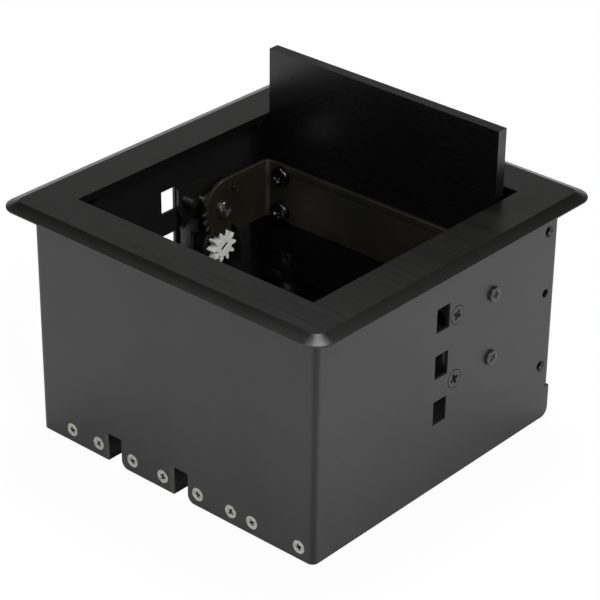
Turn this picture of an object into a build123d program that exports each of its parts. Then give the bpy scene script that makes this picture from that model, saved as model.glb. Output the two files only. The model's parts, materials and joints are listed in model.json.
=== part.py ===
from build123d import *
import os
from math import acos, atan, cos, pi, radians, sin, tan

# Cable management box for a table top: a folded sheet-steel box hung from a square bevelled frame,
# with a lid that tilts on two pivots and is slowed by two rotary dampers.
# Millimetres. X runs along the front wall, Y from front to rear, Z up. The origin is at the bottom,
# in the middle. The lid is modelled open, standing upright.

# --- housing -------------------------------------------------------------------------------------
BODY_WIDTH = 135.0
BODY_DEPTH = 135.0
BODY_HEIGHT = 92.5
WALL = 1.2
BEND_RADIUS = 2.6
TOP_FLANGE_WIDTH = 10.0
RETURN_FLANGE_WIDTH = 11.5
RETURN_FLANGE_START = 14.0
TAB_CORNER_RADIUS = 3.5
TAB_OVERLAP = 4.0
BEND_RELIEF = 0.8

# --- clamp windows and accessory holes in the side walls -----------------------------------------
WINDOW_WIDTH = 7.2
WINDOW_HEIGHT = 9.6
WINDOW_COUNT = 3
WINDOW_PITCH = 18.9
WINDOW_TOP_DROP = 22.5
WINDOW_AHEAD = 18.0
ACCESSORY_INSET = 6.4
ACCESSORY_LOW = 23.9
ACCESSORY_TOP_DROP = 11.8
ACCESSORY_BORE = 2.8
ACCESSORY_SINK = 4.8
LOCATING_DROP = 25.6
LOCATING_BORE = 3.4

# --- top frame -----------------------------------------------------------------------------------
BEZEL_OVERHANG = 9.0
BEZEL_THICKNESS = 2.5
BEZEL_LIP = 0.5
BEZEL_BEVEL = 4.8
BEZEL_CORNER_RADIUS = 8.0
FRAME_LEDGE = 11.5
STUD_DIAMETER = 3.0
STUD_LENGTH = 5.0
STUD_INSET = 6.0
STUD_FROM_SIDE = 32.5
STUD_FROM_FRONT = 22.5
STUD_REAR_INSET = 3.5
NUT_WIDTH = 5.5
NUT_THICKNESS = 2.4

# --- rear cover plate ----------------------------------------------------------------------------
REAR_PANEL_SIDE_INSET = 3.5
REAR_PANEL_FOOT = 0.6
REAR_FLANGE_WIDTH = 7.5
REAR_FLANGE_SIDE_GAP = 1.5
REAR_SCREW_LOW = 22.0
REAR_SCREW_TOP_DROP = 10.5
REAR_SCREW_COUNT = 3
REAR_SCREW_INSET = 4.0

# --- base pan ------------------------------------------------------------------------------------
PAN_HEIGHT = 10.0
PAN_SHEET = 1.5
PAN_SCREW_HEIGHT = 5.0
FRONT_SCREW_FROM_LEFT = 16.0
FRONT_SCREW_FROM_RIGHT = 6.8
LEFT_SLOT_SCREWS = (-8.7, 8.9)
RIGHT_SLOT_SCREWS = (-9.2, 8.2, 24.2, 34.3)
REAR_PAN_SCREW_INSET = 17.5
REAR_PAN_SCREW_COUNT = 4
PAN_CORNER_EASE = 0.4
LEFT_SLOT_X = -29.0
RIGHT_SLOT_X = 4.4
SLOT_WIDTH = 6.8
SLOT_LENGTH = 26.0
NOTCH_HEIGHT = 11.6
NOTCH_FLARE = 3.0

# --- lid -----------------------------------------------------------------------------------------
LID_THICKNESS = 4.8
LID_SIDE_GAP = 1.3
LID_REAR_GAP = 2.4
LID_EDGE_BREAK = 0.3
CABLE_GAP = 15.6
PIVOT_FROM_REAR = 49.5
LID_DROP = 31.1
STOP_TAB_WIDTH = 6.0
STOP_TAB_THICKNESS = 2.0
STOP_TAB_REACH = 4.1
STOP_TAB_LENGTH = 14.1
STOP_TAB_INSET = 9.2
STOP_SCREW_FROM_EDGE = 6.5

# --- lid bracket with its toothed sectors --------------------------------------------------------
BRACKET_SHEET = 1.5
BRACKET_SIDE_GAP = 0.4
BRACKET_BEND_RADIUS = 3.3
BRACKET_HALF_HEIGHT = 12.0
BRACKET_RISE = 0.5
NOSE_SETBACK = 1.7
BRACKET_SCREW_INSET = 9.0
BRACKET_SCREW_OFFSET = 7.5
RELIEF_REACH = 15.0
RELIEF_ANGLE = -56.0

# --- teeth ---------------------------------------------------------------------------------------
TOOTH_MODULE = 1.1
PRESSURE_ANGLE = 25.0
SECTOR_TEETH = 19
GEAR_TEETH = 10
SECTOR_ADDENDUM = 0.8
GEAR_ADDENDUM = 0.95
DEDENDUM = 1.25
BACKLASH = 0.4
FLANK_STEPS = 4
TOOTH_ROOT_OVERLAP = 0.6
LID_TRAVEL = 90.0
GEAR_THICKNESS = 3.5
GEAR_STANDOFF = 0.6
SHAFT_DIAMETER = 3.4
SHAFT_DEPTH = 4.0
TANG_THICKNESS = 1.3
TANG_RECESS = 0.3
TANG_ANGLE = 34.0

# --- hinge plates --------------------------------------------------------------------------------
PLATE_SHEET = 1.5
PLATE_AHEAD = 13.9
PLATE_BEHIND = 16.5
PLATE_BELOW = 29.9
PLATE_ABOVE = 9.6
FRONT_TAB_BEND_RADIUS = 3.1
FRONT_TAB_DEPTH = 7.7
FRONT_TAB_BOTTOM_DROP = 27.9
FRONT_TAB_TOP_DROP = 0.9
EAR_DEPTH = 10.2
EAR_HEIGHT = 4.6
FLUSH_SCREW_AHEAD = 10.0
RAISED_SCREW_BEHIND = 10.8
SIDE_SCREW_BELOW = 22.0
SIDE_SCREW_ABOVE = 4.2

# --- pivot, spring, damper and stop block --------------------------------------------------------
PIN_DIAMETER = 5.0
PIN_HEAD_DIAMETER = 7.0
PIN_HEAD_HEIGHT = 0.7
PIN_EDGE_BREAK = 0.2
BUSH_DIAMETER = 6.6
BUSH_FLANGE_DIAMETER = 9.0
BUSH_FLANGE_THICKNESS = 0.6
SPRING_WIRE = 1.2
SPRING_MEAN_RADIUS = 5.0
SPRING_TURNS = 3.25
SPRING_PITCH = 1.4
SPRING_LEG_RISE = 8.0
SPRING_LEG_OVERRUN = 1.5
SPRING_PLATE_GAP = 1.6
DAMPER_DIAMETER = 14.4
DAMPER_LENGTH = 6.8
DAMPER_BOSS_DIAMETER = 6.0
DAMPER_EDGE_BREAK = 0.5
BLOCK_WIDTH = 5.2
BLOCK_MARGIN = 3.7
BLOCK_DEPTH = 8.6
BLOCK_STEP_DEPTH = 12.0

# --- screws --------------------------------------------------------------------------------------
M3 = 3.0
M3_SINK_HEAD = 5.5
M3_PAN_HEAD = 6.0
M3_PAN_HEIGHT = 1.3
M4 = 4.0
M4_SINK_HEAD = 7.5
M4_PAN_HEAD = 8.0
M4_PAN_HEIGHT = 2.6
SHORT_SCREW = 5.0
SIDE_SCREW_LENGTH = 8.0
BLOCK_SCREW_LENGTH = 8.0
LID_SCREW_LENGTH = 5.0
STOP_SCREW_LENGTH = 4.0
RECESS_ARM_RATIO = 0.26
SUNK_RECESS_RATIO = 0.55
SUNK_RECESS_DEPTH_RATIO = 0.16
PAN_RECESS_RATIO = 0.5
PAN_RECESS_DEPTH_RATIO = 0.6
PAN_CROWN_RATIO = 0.45

# --- clearances ----------------------------------------------------------------------------------
SCREW_FIT = 0.05
RUNNING_FIT = 0.05
SEAT_GAP = 0.2
WIRE_CLEARANCE = 0.3
CUT_PAST = 1.0

# --- worked out from the sizes above -------------------------------------------------------------
HALF_WIDTH = BODY_WIDTH / 2
HALF_DEPTH = BODY_DEPTH / 2
INNER_X = HALF_WIDTH - WALL
INNER_Y = HALF_DEPTH - WALL
TOP_Z = BODY_HEIGHT + BEZEL_THICKNESS
OPENING_X = HALF_WIDTH - FRAME_LEDGE
OPENING_Y = HALF_DEPTH - FRAME_LEDGE
REAR_PANEL_X = HALF_WIDTH - REAR_PANEL_SIDE_INSET
PIVOT_Y = HALF_DEPTH - PIVOT_FROM_REAR
PIVOT_Z = TOP_Z - LID_DROP
LID_OUTER_Y = PIVOT_Y + LID_DROP
LID_INNER_Y = LID_OUTER_Y - LID_THICKNESS
LID_X = OPENING_X - LID_SIDE_GAP
LID_TOP_Z = PIVOT_Z + PIVOT_Y + OPENING_Y - CABLE_GAP
LID_BOTTOM_Z = PIVOT_Z + PIVOT_Y - OPENING_Y + LID_REAR_GAP
STOP_TAB_X = LID_X - STOP_TAB_INSET
WEB_Y = LID_INNER_Y - BRACKET_SHEET
ARM_OUTER_X = OPENING_X - BRACKET_SIDE_GAP
ARM_INNER_X = ARM_OUTER_X - BRACKET_SHEET
BRACKET_Z = PIVOT_Z + BRACKET_RISE
BRACKET_BOTTOM = BRACKET_Z - BRACKET_HALF_HEIGHT
SECTOR_RADIUS = TOOTH_MODULE * SECTOR_TEETH / 2
GEAR_RADIUS = TOOTH_MODULE * GEAR_TEETH / 2
GEAR_Z = PIVOT_Z - SECTOR_RADIUS - GEAR_RADIUS
PLATE_INNER_X = INNER_X - PLATE_SHEET
DAMPER_FACE_X = PLATE_INNER_X - DAMPER_LENGTH
GEAR_OUTER_X = DAMPER_FACE_X - GEAR_STANDOFF
PLATE_FRONT = PIVOT_Y - PLATE_AHEAD
FRONT_TAB_BOTTOM = PIVOT_Z - FRONT_TAB_BOTTOM_DROP
FRONT_TAB_TOP = PIVOT_Z - FRONT_TAB_TOP_DROP
FLUSH_SCREW_Y = PIVOT_Y - FLUSH_SCREW_AHEAD
RAISED_SCREW_Y = PIVOT_Y + RAISED_SCREW_BEHIND
SIDE_SCREW_LOW = PIVOT_Z - SIDE_SCREW_BELOW
SIDE_SCREW_HIGH = PIVOT_Z + SIDE_SCREW_ABOVE
SPRING_SLOPE = atan(SPRING_PITCH / (2 * pi * SPRING_MEAN_RADIUS))
SPRING_TAB_LEG = PIVOT_Y - PLATE_FRONT + SPRING_LEG_OVERRUN
SPRING_START_X = PLATE_INNER_X - SPRING_PLATE_GAP - SPRING_WIRE / 2 - SPRING_TAB_LEG * sin(SPRING_SLOPE)
SPRING_TAB_X = SPRING_START_X + (PIVOT_Y - PLATE_FRONT - PLATE_SHEET / 2) * sin(SPRING_SLOPE)
SIDE_SCREW_HEIGHTS = (SIDE_SCREW_LOW, SIDE_SCREW_HIGH)
WINDOW_Y = PIVOT_Y - WINDOW_AHEAD
WINDOW_HEIGHTS = [BODY_HEIGHT - WINDOW_TOP_DROP - WINDOW_PITCH * i for i in range(WINDOW_COUNT)]
ACCESSORY_Y = HALF_DEPTH - ACCESSORY_INSET
ACCESSORY_HIGH = BODY_HEIGHT - ACCESSORY_TOP_DROP
LOCATING_Z = ACCESSORY_HIGH - LOCATING_DROP
SLOT_PLACES = (LEFT_SLOT_X, RIGHT_SLOT_X)
FRONT_SCREW_PLACES = [FRONT_SCREW_FROM_LEFT - HALF_WIDTH]
FRONT_SCREW_PLACES += [LEFT_SLOT_X + offset for offset in LEFT_SLOT_SCREWS]
FRONT_SCREW_PLACES += [RIGHT_SLOT_X + offset for offset in RIGHT_SLOT_SCREWS]
FRONT_SCREW_PLACES += [HALF_WIDTH - FRONT_SCREW_FROM_RIGHT]


# --- helpers -------------------------------------------------------------------------------------
def block(x_range, y_range, z_range):
    """Box between two corners."""
    size = [high - low for low, high in (x_range, y_range, z_range)]
    middle = [(high + low) / 2 for low, high in (x_range, y_range, z_range)]
    return Pos(*middle) * Box(*size)


def rod(point, direction, diameter, length):
    """Cylinder that starts at a point and runs along a direction."""
    frame = Plane(origin=point, z_dir=direction)
    return extrude(frame * Circle(diameter / 2), amount=length)


def cone(point, direction, start_diameter, end_diameter):
    """Ninety-degree countersink that starts at a point and narrows along a direction."""
    depth = (start_diameter - end_diameter) / 2
    middle = Plane(origin=point, z_dir=direction).location * Pos(0, 0, depth / 2)
    return middle * Cone(start_diameter / 2, end_diameter / 2, depth)


def cross_recess(point, direction, size, depth):
    """Cross-shaped driver recess cut into a head."""
    frame = Plane(origin=point, z_dir=direction)
    arm = size * RECESS_ARM_RATIO
    slots = Rectangle(size, arm) + Rectangle(arm, size)
    return extrude(frame * slots, amount=depth)


def sunk_screw(point, inward, diameter, head, length):
    """Countersunk screw with its flat head at the point and its shank running inward."""
    screw = rod(point, inward, diameter, length) + cone(point, inward, head, diameter)
    depth = head * SUNK_RECESS_DEPTH_RATIO
    return screw - cross_recess(point, inward, head * SUNK_RECESS_RATIO, depth)


def pan_screw(point, inward, diameter, head, height, length):
    """Pan-head screw whose head bears on the point and whose shank runs inward."""
    outward = [-v for v in inward]
    crown = rod(point, outward, head, height)
    rim = crown.faces().sort_by(Axis(point, outward))[-1].edges()
    crown = fillet(rim, height * PAN_CROWN_RATIO)
    top = [p + d * height for p, d in zip(point, outward)]
    recess = cross_recess(top, inward, head * PAN_RECESS_RATIO, height * PAN_RECESS_DEPTH_RATIO)
    return crown + rod(point, inward, diameter, length) - recess


def screw_hole(point, inward, diameter, depth):
    """Hole with a small clearance round a screw or stud."""
    return rod(point, inward, diameter + 2 * SCREW_FIT, depth)


def sunk_hole(point, inward, diameter, head, depth):
    """Countersunk hole that takes a sunk screw."""
    wide = head + 2 * SCREW_FIT
    narrow = diameter + 2 * SCREW_FIT
    return cone(point, inward, wide, narrow) + screw_hole(point, inward, diameter, depth)


def evenly(low, high, count):
    """Evenly spaced values from one end to the other."""
    return [low + (high - low) * i / (count - 1) for i in range(count)]


def mirrored(shape):
    """The same piece on the other side of the box."""
    return mirror(shape, about=Plane.YZ)


def group(shapes):
    """Several separate solids kept as one group."""
    return Compound(children=[solid for shape in shapes for solid in shape.solids()])


def export(shape, name):
    """Write one node's STEP file."""
    shape.label = name
    export_step(shape, f"parts/{name}.step")


# --- teeth ---------------------------------------------------------------------------------------
def involute(angle):
    """Involute function of an angle in radians."""
    return tan(angle) - angle


def tooth_face(teeth, addendum, centre_angle):
    """One involute tooth, rooted a little inside the root circle so that it joins its wheel."""
    pitch_radius = TOOTH_MODULE * teeth / 2
    base_radius = pitch_radius * cos(radians(PRESSURE_ANGLE))
    root_radius = pitch_radius - DEDENDUM * TOOTH_MODULE
    tip_radius = pitch_radius + addendum * TOOTH_MODULE
    thickness = pi * TOOTH_MODULE / 2 - BACKLASH / 2
    pitch_half = thickness / (2 * pitch_radius)

    def half_angle(radius):
        pressure = acos(min(1.0, base_radius / radius))
        return pitch_half + involute(radians(PRESSURE_ANGLE)) - involute(pressure)

    start = max(base_radius, root_radius)
    steps = [start + (tip_radius - start) * i / FLANK_STEPS for i in range(FLANK_STEPS + 1)]
    flank = [(root_radius - TOOTH_ROOT_OVERLAP, half_angle(start))]
    flank += [(r, half_angle(r)) for r in steps]
    points = [(r, radians(centre_angle) - a) for r, a in flank]
    points += [(r, radians(centre_angle) + a) for r, a in reversed(flank)]
    corners = [(r * cos(a), r * sin(a)) for r, a in points]
    return make_face(Polyline(*corners, close=True))


def sector_angles():
    """Tooth centres on the bracket, from just past the gear through the lid's whole travel."""
    step = 360 / SECTOR_TEETH
    count = int(LID_TRAVEL / step) + 1
    return [-90 - step * i for i in range(-1, count + 1)]


def gear_angles():
    """Tooth centres on the gear, with a gap facing the sector."""
    step = 360 / GEAR_TEETH
    return [90 + step / 2 + step * i for i in range(GEAR_TEETH)]


# --- housing -------------------------------------------------------------------------------------
def notch_face(width, height, flare):
    """Cable notch, open below, with its lower corners rounded outwards."""
    half = width / 2
    outline = Polyline(
        (half + flare, 0),
        (half + flare, -CUT_PAST),
        (-half - flare, -CUT_PAST),
        (-half - flare, 0),
    )
    left = RadiusArc((-half - flare, 0), (-half, flare), -flare)
    sides = Polyline((-half, flare), (-half, height), (half, height), (half, flare))
    right = RadiusArc((half, flare), (half + flare, 0), -flare)
    return make_face([*outline.edges(), *left.edges(), *sides.edges(), *right.edges()])


def front_notches(depth):
    """Cutters for the cable notches, from in front of the front wall to the given depth."""
    front = Plane(origin=(0, -HALF_DEPTH + depth, 0), x_dir=(1, 0, 0), z_dir=(0, -1, 0))
    face = notch_face(SLOT_WIDTH, NOTCH_HEIGHT, NOTCH_FLARE)
    return [extrude(front * Pos(x, 0) * face, amount=depth + CUT_PAST) for x in SLOT_PLACES]


def housing_shell():
    """Front and side walls folded from one sheet, with flanges turned in at the top and rear."""
    outline = RectangleRounded(BODY_WIDTH, BODY_DEPTH, BEND_RADIUS)
    hollow = RectangleRounded(BODY_WIDTH - 2 * WALL, BODY_DEPTH - 2 * WALL, BEND_RADIUS - WALL)
    shell = extrude(outline - hollow, amount=BODY_HEIGHT)

    top_sheet = Pos(0, 0, BODY_HEIGHT - WALL) * extrude(outline, amount=WALL)
    hole_x = HALF_WIDTH - TOP_FLANGE_WIDTH
    hole_front = -HALF_DEPTH + TOP_FLANGE_WIDTH
    z_span = (BODY_HEIGHT - 2 * WALL, BODY_HEIGHT + CUT_PAST)
    top_sheet -= block((-hole_x, hole_x), (hole_front, HALF_DEPTH + CUT_PAST), z_span)
    shell += top_sheet

    return_x = HALF_WIDTH - RETURN_FLANGE_WIDTH
    past_rear = HALF_DEPTH + CUT_PAST
    past_top = BODY_HEIGHT + CUT_PAST
    shell -= block((-return_x, return_x), (INNER_Y - CUT_PAST, past_rear), (-CUT_PAST, past_top))
    past_side = HALF_WIDTH + CUT_PAST
    bend_start = HALF_DEPTH - BEND_RADIUS
    shell -= block((-past_side, past_side), (bend_start, past_rear), (-CUT_PAST, RETURN_FLANGE_START))
    tab_depth = BEND_RADIUS + TAB_OVERLAP
    tab_top = RETURN_FLANGE_START - BEND_RELIEF
    tab_profile = Rectangle(tab_depth, tab_top, align=(Align.MAX, Align.MIN))
    tab_profile = fillet(tab_profile.vertices().group_by(Axis.Y)[0].sort_by(Axis.X)[-1], TAB_CORNER_RADIUS)
    for side in (-1, 1):
        frame = Plane.YZ.offset(INNER_X if side > 0 else -HALF_WIDTH)
        tab = extrude(frame * Pos(HALF_DEPTH, 0) * tab_profile, amount=WALL)
        clear = block(
            (side * HALF_WIDTH - WALL - CUT_PAST, side * HALF_WIDTH + WALL + CUT_PAST),
            (HALF_DEPTH - tab_depth, past_rear),
            (-CUT_PAST, tab_top),
        )
        shell = shell - clear + tab

    for cutter in side_wall_cutters() + front_notches(WALL):
        shell -= cutter
    for x in FRONT_SCREW_PLACES:
        shell -= sunk_hole((x, -HALF_DEPTH, PAN_SCREW_HEIGHT), (0, 1, 0), M3, M3_SINK_HEAD, WALL + CUT_PAST)
    for x, y in stud_places()[:-2]:
        shell -= screw_hole((x, y, BODY_HEIGHT), (0, 0, -1), STUD_DIAMETER, WALL + CUT_PAST)
    for point in rear_screw_points():
        shell -= screw_hole(point, (0, -1, 0), M3, 2 * WALL + CUT_PAST)
    return shell


def side_wall_cutters():
    """Windows and holes of both side walls."""
    cutters = []
    for side in (-1, 1):
        wall_x = side * HALF_WIDTH
        inward = (-side, 0, 0)
        for z in WINDOW_HEIGHTS:
            cutters.append(
                block(
                    (wall_x - WALL - CUT_PAST, wall_x + WALL + CUT_PAST),
                    (WINDOW_Y - WINDOW_WIDTH / 2, WINDOW_Y + WINDOW_WIDTH / 2),
                    (z - WINDOW_HEIGHT / 2, z + WINDOW_HEIGHT / 2),
                )
            )
        for z in SIDE_SCREW_HEIGHTS:
            flush = (wall_x, FLUSH_SCREW_Y, z)
            raised = (wall_x, RAISED_SCREW_Y, z)
            cutters.append(sunk_hole(flush, inward, M4, M4_SINK_HEAD, WALL + PLATE_SHEET))
            cutters.append(screw_hole(raised, inward, M3, WALL + CUT_PAST))
        for z in (ACCESSORY_LOW, ACCESSORY_HIGH):
            point = (wall_x, ACCESSORY_Y, z)
            cutters.append(rod(point, inward, ACCESSORY_BORE, WALL + CUT_PAST))
            cutters.append(cone(point, inward, ACCESSORY_SINK, ACCESSORY_BORE))
        locating = (wall_x, ACCESSORY_Y, LOCATING_Z)
        cutters.append(rod(locating, inward, LOCATING_BORE, WALL + CUT_PAST))
    return cutters


# --- top frame -----------------------------------------------------------------------------------
def stud_places():
    """Studs down the sides and along the front, then the two at the rear."""
    side_x = HALF_WIDTH - STUD_INSET
    front_y = -HALF_DEPTH + STUD_INSET
    rear_y = HALF_DEPTH - STUD_REAR_INSET
    end_y = HALF_DEPTH - STUD_FROM_FRONT
    row_x = HALF_WIDTH - STUD_FROM_SIDE
    places = [(sx * side_x, sy * end_y) for sx in (-1, 1) for sy in (-1, 1)]
    places += [(sx * row_x, front_y) for sx in (-1, 1)]
    places += [(sx * row_x, rear_y) for sx in (-1, 1)]
    return places


def bezel_frame():
    """Square frame with a shallow bevel all round and studs welded underneath."""
    width = BODY_WIDTH + 2 * BEZEL_OVERHANG
    depth = BODY_DEPTH + 2 * BEZEL_OVERHANG
    base = RectangleRounded(width, depth, BEZEL_CORNER_RADIUS)
    top = RectangleRounded(
        width - 2 * BEZEL_BEVEL, depth - 2 * BEZEL_BEVEL, BEZEL_CORNER_RADIUS - BEZEL_BEVEL
    )
    lip = Pos(0, 0, BODY_HEIGHT) * extrude(base, amount=BEZEL_LIP)
    bevel = loft([Pos(0, 0, BODY_HEIGHT + BEZEL_LIP) * base, Pos(0, 0, TOP_Z) * top], ruled=True)
    frame = lip + bevel
    frame -= block(
        (-OPENING_X, OPENING_X),
        (-OPENING_Y, OPENING_Y),
        (BODY_HEIGHT - CUT_PAST, TOP_Z + CUT_PAST),
    )
    for x, y in stud_places():
        frame += rod((x, y, BODY_HEIGHT), (0, 0, -1), STUD_DIAMETER, STUD_LENGTH)
    return frame


def bezel_nuts():
    """Hexagon nuts on the frame's studs, under the flanges."""
    hexagon = RegularPolygon(NUT_WIDTH / 2, 6, major_radius=False)
    ring = extrude(hexagon - Circle(STUD_DIAMETER / 2 + SCREW_FIT), amount=NUT_THICKNESS)
    under = BODY_HEIGHT - WALL - NUT_THICKNESS
    return group([Pos(x, y, under) * ring for x, y in stud_places()])


# --- rear cover plate ----------------------------------------------------------------------------
def rear_screw_points():
    """Screws that hold the rear plate to the housing's rear flanges."""
    x = REAR_PANEL_X - REAR_SCREW_INSET
    heights = evenly(REAR_SCREW_LOW, BODY_HEIGHT - REAR_SCREW_TOP_DROP, REAR_SCREW_COUNT)
    return [(s * x, HALF_DEPTH + WALL, z) for s in (-1, 1) for z in heights]


def rear_pan_points():
    """Screws that hold the base pan to the rear plate."""
    end = HALF_WIDTH - REAR_PAN_SCREW_INSET
    places = evenly(-end, end, REAR_PAN_SCREW_COUNT)
    return [(x, HALF_DEPTH + WALL, PAN_SCREW_HEIGHT) for x in places]


def rear_panel():
    """Flat plate over the rear flanges, with a flange turned forward under the frame."""
    x_span = (-REAR_PANEL_X, REAR_PANEL_X)
    panel = block(x_span, (HALF_DEPTH, HALF_DEPTH + WALL), (REAR_PANEL_FOOT, BODY_HEIGHT))
    flange_x = HALF_WIDTH - RETURN_FLANGE_WIDTH - REAR_FLANGE_SIDE_GAP
    panel += block(
        (-flange_x, flange_x),
        (HALF_DEPTH - REAR_FLANGE_WIDTH, HALF_DEPTH + WALL / 2),
        (BODY_HEIGHT - WALL, BODY_HEIGHT),
    )
    for point in rear_screw_points() + rear_pan_points():
        panel -= sunk_hole(point, (0, -1, 0), M3, M3_SINK_HEAD, WALL + CUT_PAST)
    for x, y in stud_places()[-2:]:
        panel -= screw_hole((x, y, BODY_HEIGHT), (0, 0, -1), STUD_DIAMETER, WALL + CUT_PAST)
    return panel


# --- base pan ------------------------------------------------------------------------------------
def base_pan():
    """Floor with its rim turned down, and two cable slots with turned-down cheeks."""
    pan = block((-INNER_X, INNER_X), (-INNER_Y, HALF_DEPTH), (0, PAN_HEIGHT))
    front_corners = pan.edges().filter_by(Axis.Z).group_by(Axis.Y)[0]
    pan = fillet(front_corners, BEND_RADIUS - WALL + PAN_CORNER_EASE)
    pan -= block(
        (-INNER_X + PAN_SHEET, INNER_X - PAN_SHEET),
        (-INNER_Y + PAN_SHEET, HALF_DEPTH - PAN_SHEET),
        (-CUT_PAST, PAN_HEIGHT - PAN_SHEET),
    )
    slot_end = -INNER_Y + SLOT_LENGTH
    for x in SLOT_PLACES:
        half = SLOT_WIDTH / 2
        pan += block(
            (x - half - PAN_SHEET, x + half + PAN_SHEET),
            (-INNER_Y, slot_end + PAN_SHEET),
            (0, PAN_HEIGHT),
        )
        slot_z = (-CUT_PAST, PAN_HEIGHT + CUT_PAST)
        pan -= block((x - half, x + half), (-INNER_Y - CUT_PAST, slot_end), slot_z)
    for cutter in front_notches(WALL + PAN_SHEET):
        pan -= cutter
    through = WALL + PAN_SHEET + CUT_PAST
    for x in FRONT_SCREW_PLACES:
        pan -= screw_hole((x, -HALF_DEPTH, PAN_SCREW_HEIGHT), (0, 1, 0), M3, through)
    for point in rear_pan_points():
        pan -= screw_hole(point, (0, -1, 0), M3, through)
    return pan


# --- lid -----------------------------------------------------------------------------------------
def bracket_screw_points():
    """Screws that hold the bracket to the lid."""
    x = ARM_OUTER_X - BRACKET_SCREW_INSET
    offsets = (-BRACKET_SCREW_OFFSET, BRACKET_SCREW_OFFSET)
    return [(s * x, WEB_Y, BRACKET_Z + dz) for s in (-1, 1) for dz in offsets]


def stop_screw_points():
    """Screws that hold the stop tabs in the lid's pockets."""
    z = LID_BOTTOM_Z + STOP_SCREW_FROM_EDGE
    return [(s * STOP_TAB_X, LID_INNER_Y, z) for s in (-1, 1)]


def stop_tab_blank(x, growth):
    """One stop tab, or with some growth the pocket that it lies in."""
    half = STOP_TAB_WIDTH / 2 + growth
    top = LID_BOTTOM_Z - STOP_TAB_REACH + STOP_TAB_LENGTH
    return block(
        (x - half, x + half),
        (LID_INNER_Y, LID_INNER_Y + STOP_TAB_THICKNESS),
        (LID_BOTTOM_Z - STOP_TAB_REACH, top + growth),
    )


def lid_panel():
    """Flat lid, with blind holes for the bracket and pockets for the stop tabs."""
    lid = block((-LID_X, LID_X), (LID_INNER_Y, LID_OUTER_Y), (LID_BOTTOM_Z, LID_TOP_Z))
    lid = chamfer(lid.faces().sort_by(Axis.Y)[-1].edges(), LID_EDGE_BREAK)
    for side in (-1, 1):
        lid -= stop_tab_blank(side * STOP_TAB_X, RUNNING_FIT)
    for point in bracket_screw_points():
        lid -= screw_hole(point, (0, 1, 0), M4, LID_SCREW_LENGTH + SEAT_GAP)
    for point in stop_screw_points():
        lid -= screw_hole(point, (0, 1, 0), M3, STOP_SCREW_LENGTH + SEAT_GAP)
    return lid


def lid_stop_tabs():
    """Steel tabs at the lid's rear edge that catch under the frame when the lid is shut."""
    tabs = []
    for point in stop_screw_points():
        tab = stop_tab_blank(point[0], 0)
        through = STOP_TAB_THICKNESS + CUT_PAST
        tabs.append(tab - sunk_hole(point, (0, 1, 0), M3, M3_SINK_HEAD, through))
    return group(tabs)


def flange_side_face():
    """Side profile of a bracket arm: a strip with a round nose and the toothed sector."""
    nose_centre = Pos(NOSE_SETBACK, BRACKET_RISE)
    nose = nose_centre * Circle(BRACKET_HALF_HEIGHT)
    length = LID_INNER_Y - PIVOT_Y - NOSE_SETBACK
    blank = Rectangle(length, 2 * BRACKET_HALF_HEIGHT, align=(Align.MIN, Align.CENTER))
    strip = nose_centre * blank
    angles = sector_angles()
    last = angles[-1] - 360 / SECTOR_TEETH
    sweep_angle = RELIEF_ANGLE - last
    edge = CenterArc((0, 0), RELIEF_REACH, last, sweep_angle)
    relief = make_face([edge, Line(edge @ 1, (0, 0)), Line((0, 0), edge @ 0)])
    root = Circle(SECTOR_RADIUS - DEDENDUM * TOOTH_MODULE)
    face = nose + strip - relief + root
    for angle in angles:
        face += tooth_face(SECTOR_TEETH, SECTOR_ADDENDUM, angle)
    return face


def lid_bracket():
    """U-shaped bracket: a web on the lid and two arms that carry the pivots and the teeth."""
    depth = LID_INNER_Y - PIVOT_Y + BRACKET_HALF_HEIGHT + CUT_PAST
    outer = Rectangle(2 * ARM_OUTER_X, depth, align=(Align.CENTER, Align.MAX))
    outer = fillet(outer.vertices().group_by(Axis.Y)[-1], BRACKET_BEND_RADIUS)
    inner = Rectangle(2 * ARM_INNER_X, depth, align=(Align.CENTER, Align.MAX))
    inner = fillet(inner.vertices().group_by(Axis.Y)[-1], BRACKET_BEND_RADIUS - BRACKET_SHEET)
    profile = outer - Pos(0, -BRACKET_SHEET) * inner
    channel = extrude(Pos(0, LID_INNER_Y, BRACKET_BOTTOM) * profile, amount=2 * BRACKET_HALF_HEIGHT)
    side = Plane(origin=(-HALF_WIDTH, PIVOT_Y, PIVOT_Z), x_dir=(0, 1, 0), z_dir=(1, 0, 0))
    bracket = channel & extrude(side * flange_side_face(), amount=BODY_WIDTH)
    bracket -= rod((-HALF_WIDTH, PIVOT_Y, PIVOT_Z), (1, 0, 0), BUSH_DIAMETER, BODY_WIDTH)
    leg_hole = SPRING_WIRE + 2 * WIRE_CLEARANCE
    point = (-HALF_WIDTH, PIVOT_Y + SPRING_MEAN_RADIUS, PIVOT_Z + SPRING_LEG_RISE)
    bracket -= rod(point, (1, 0, 0), leg_hole, BODY_WIDTH)
    for hole in bracket_screw_points():
        bracket -= screw_hole(hole, (0, 1, 0), M4, BRACKET_SHEET + CUT_PAST)
    return bracket


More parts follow.
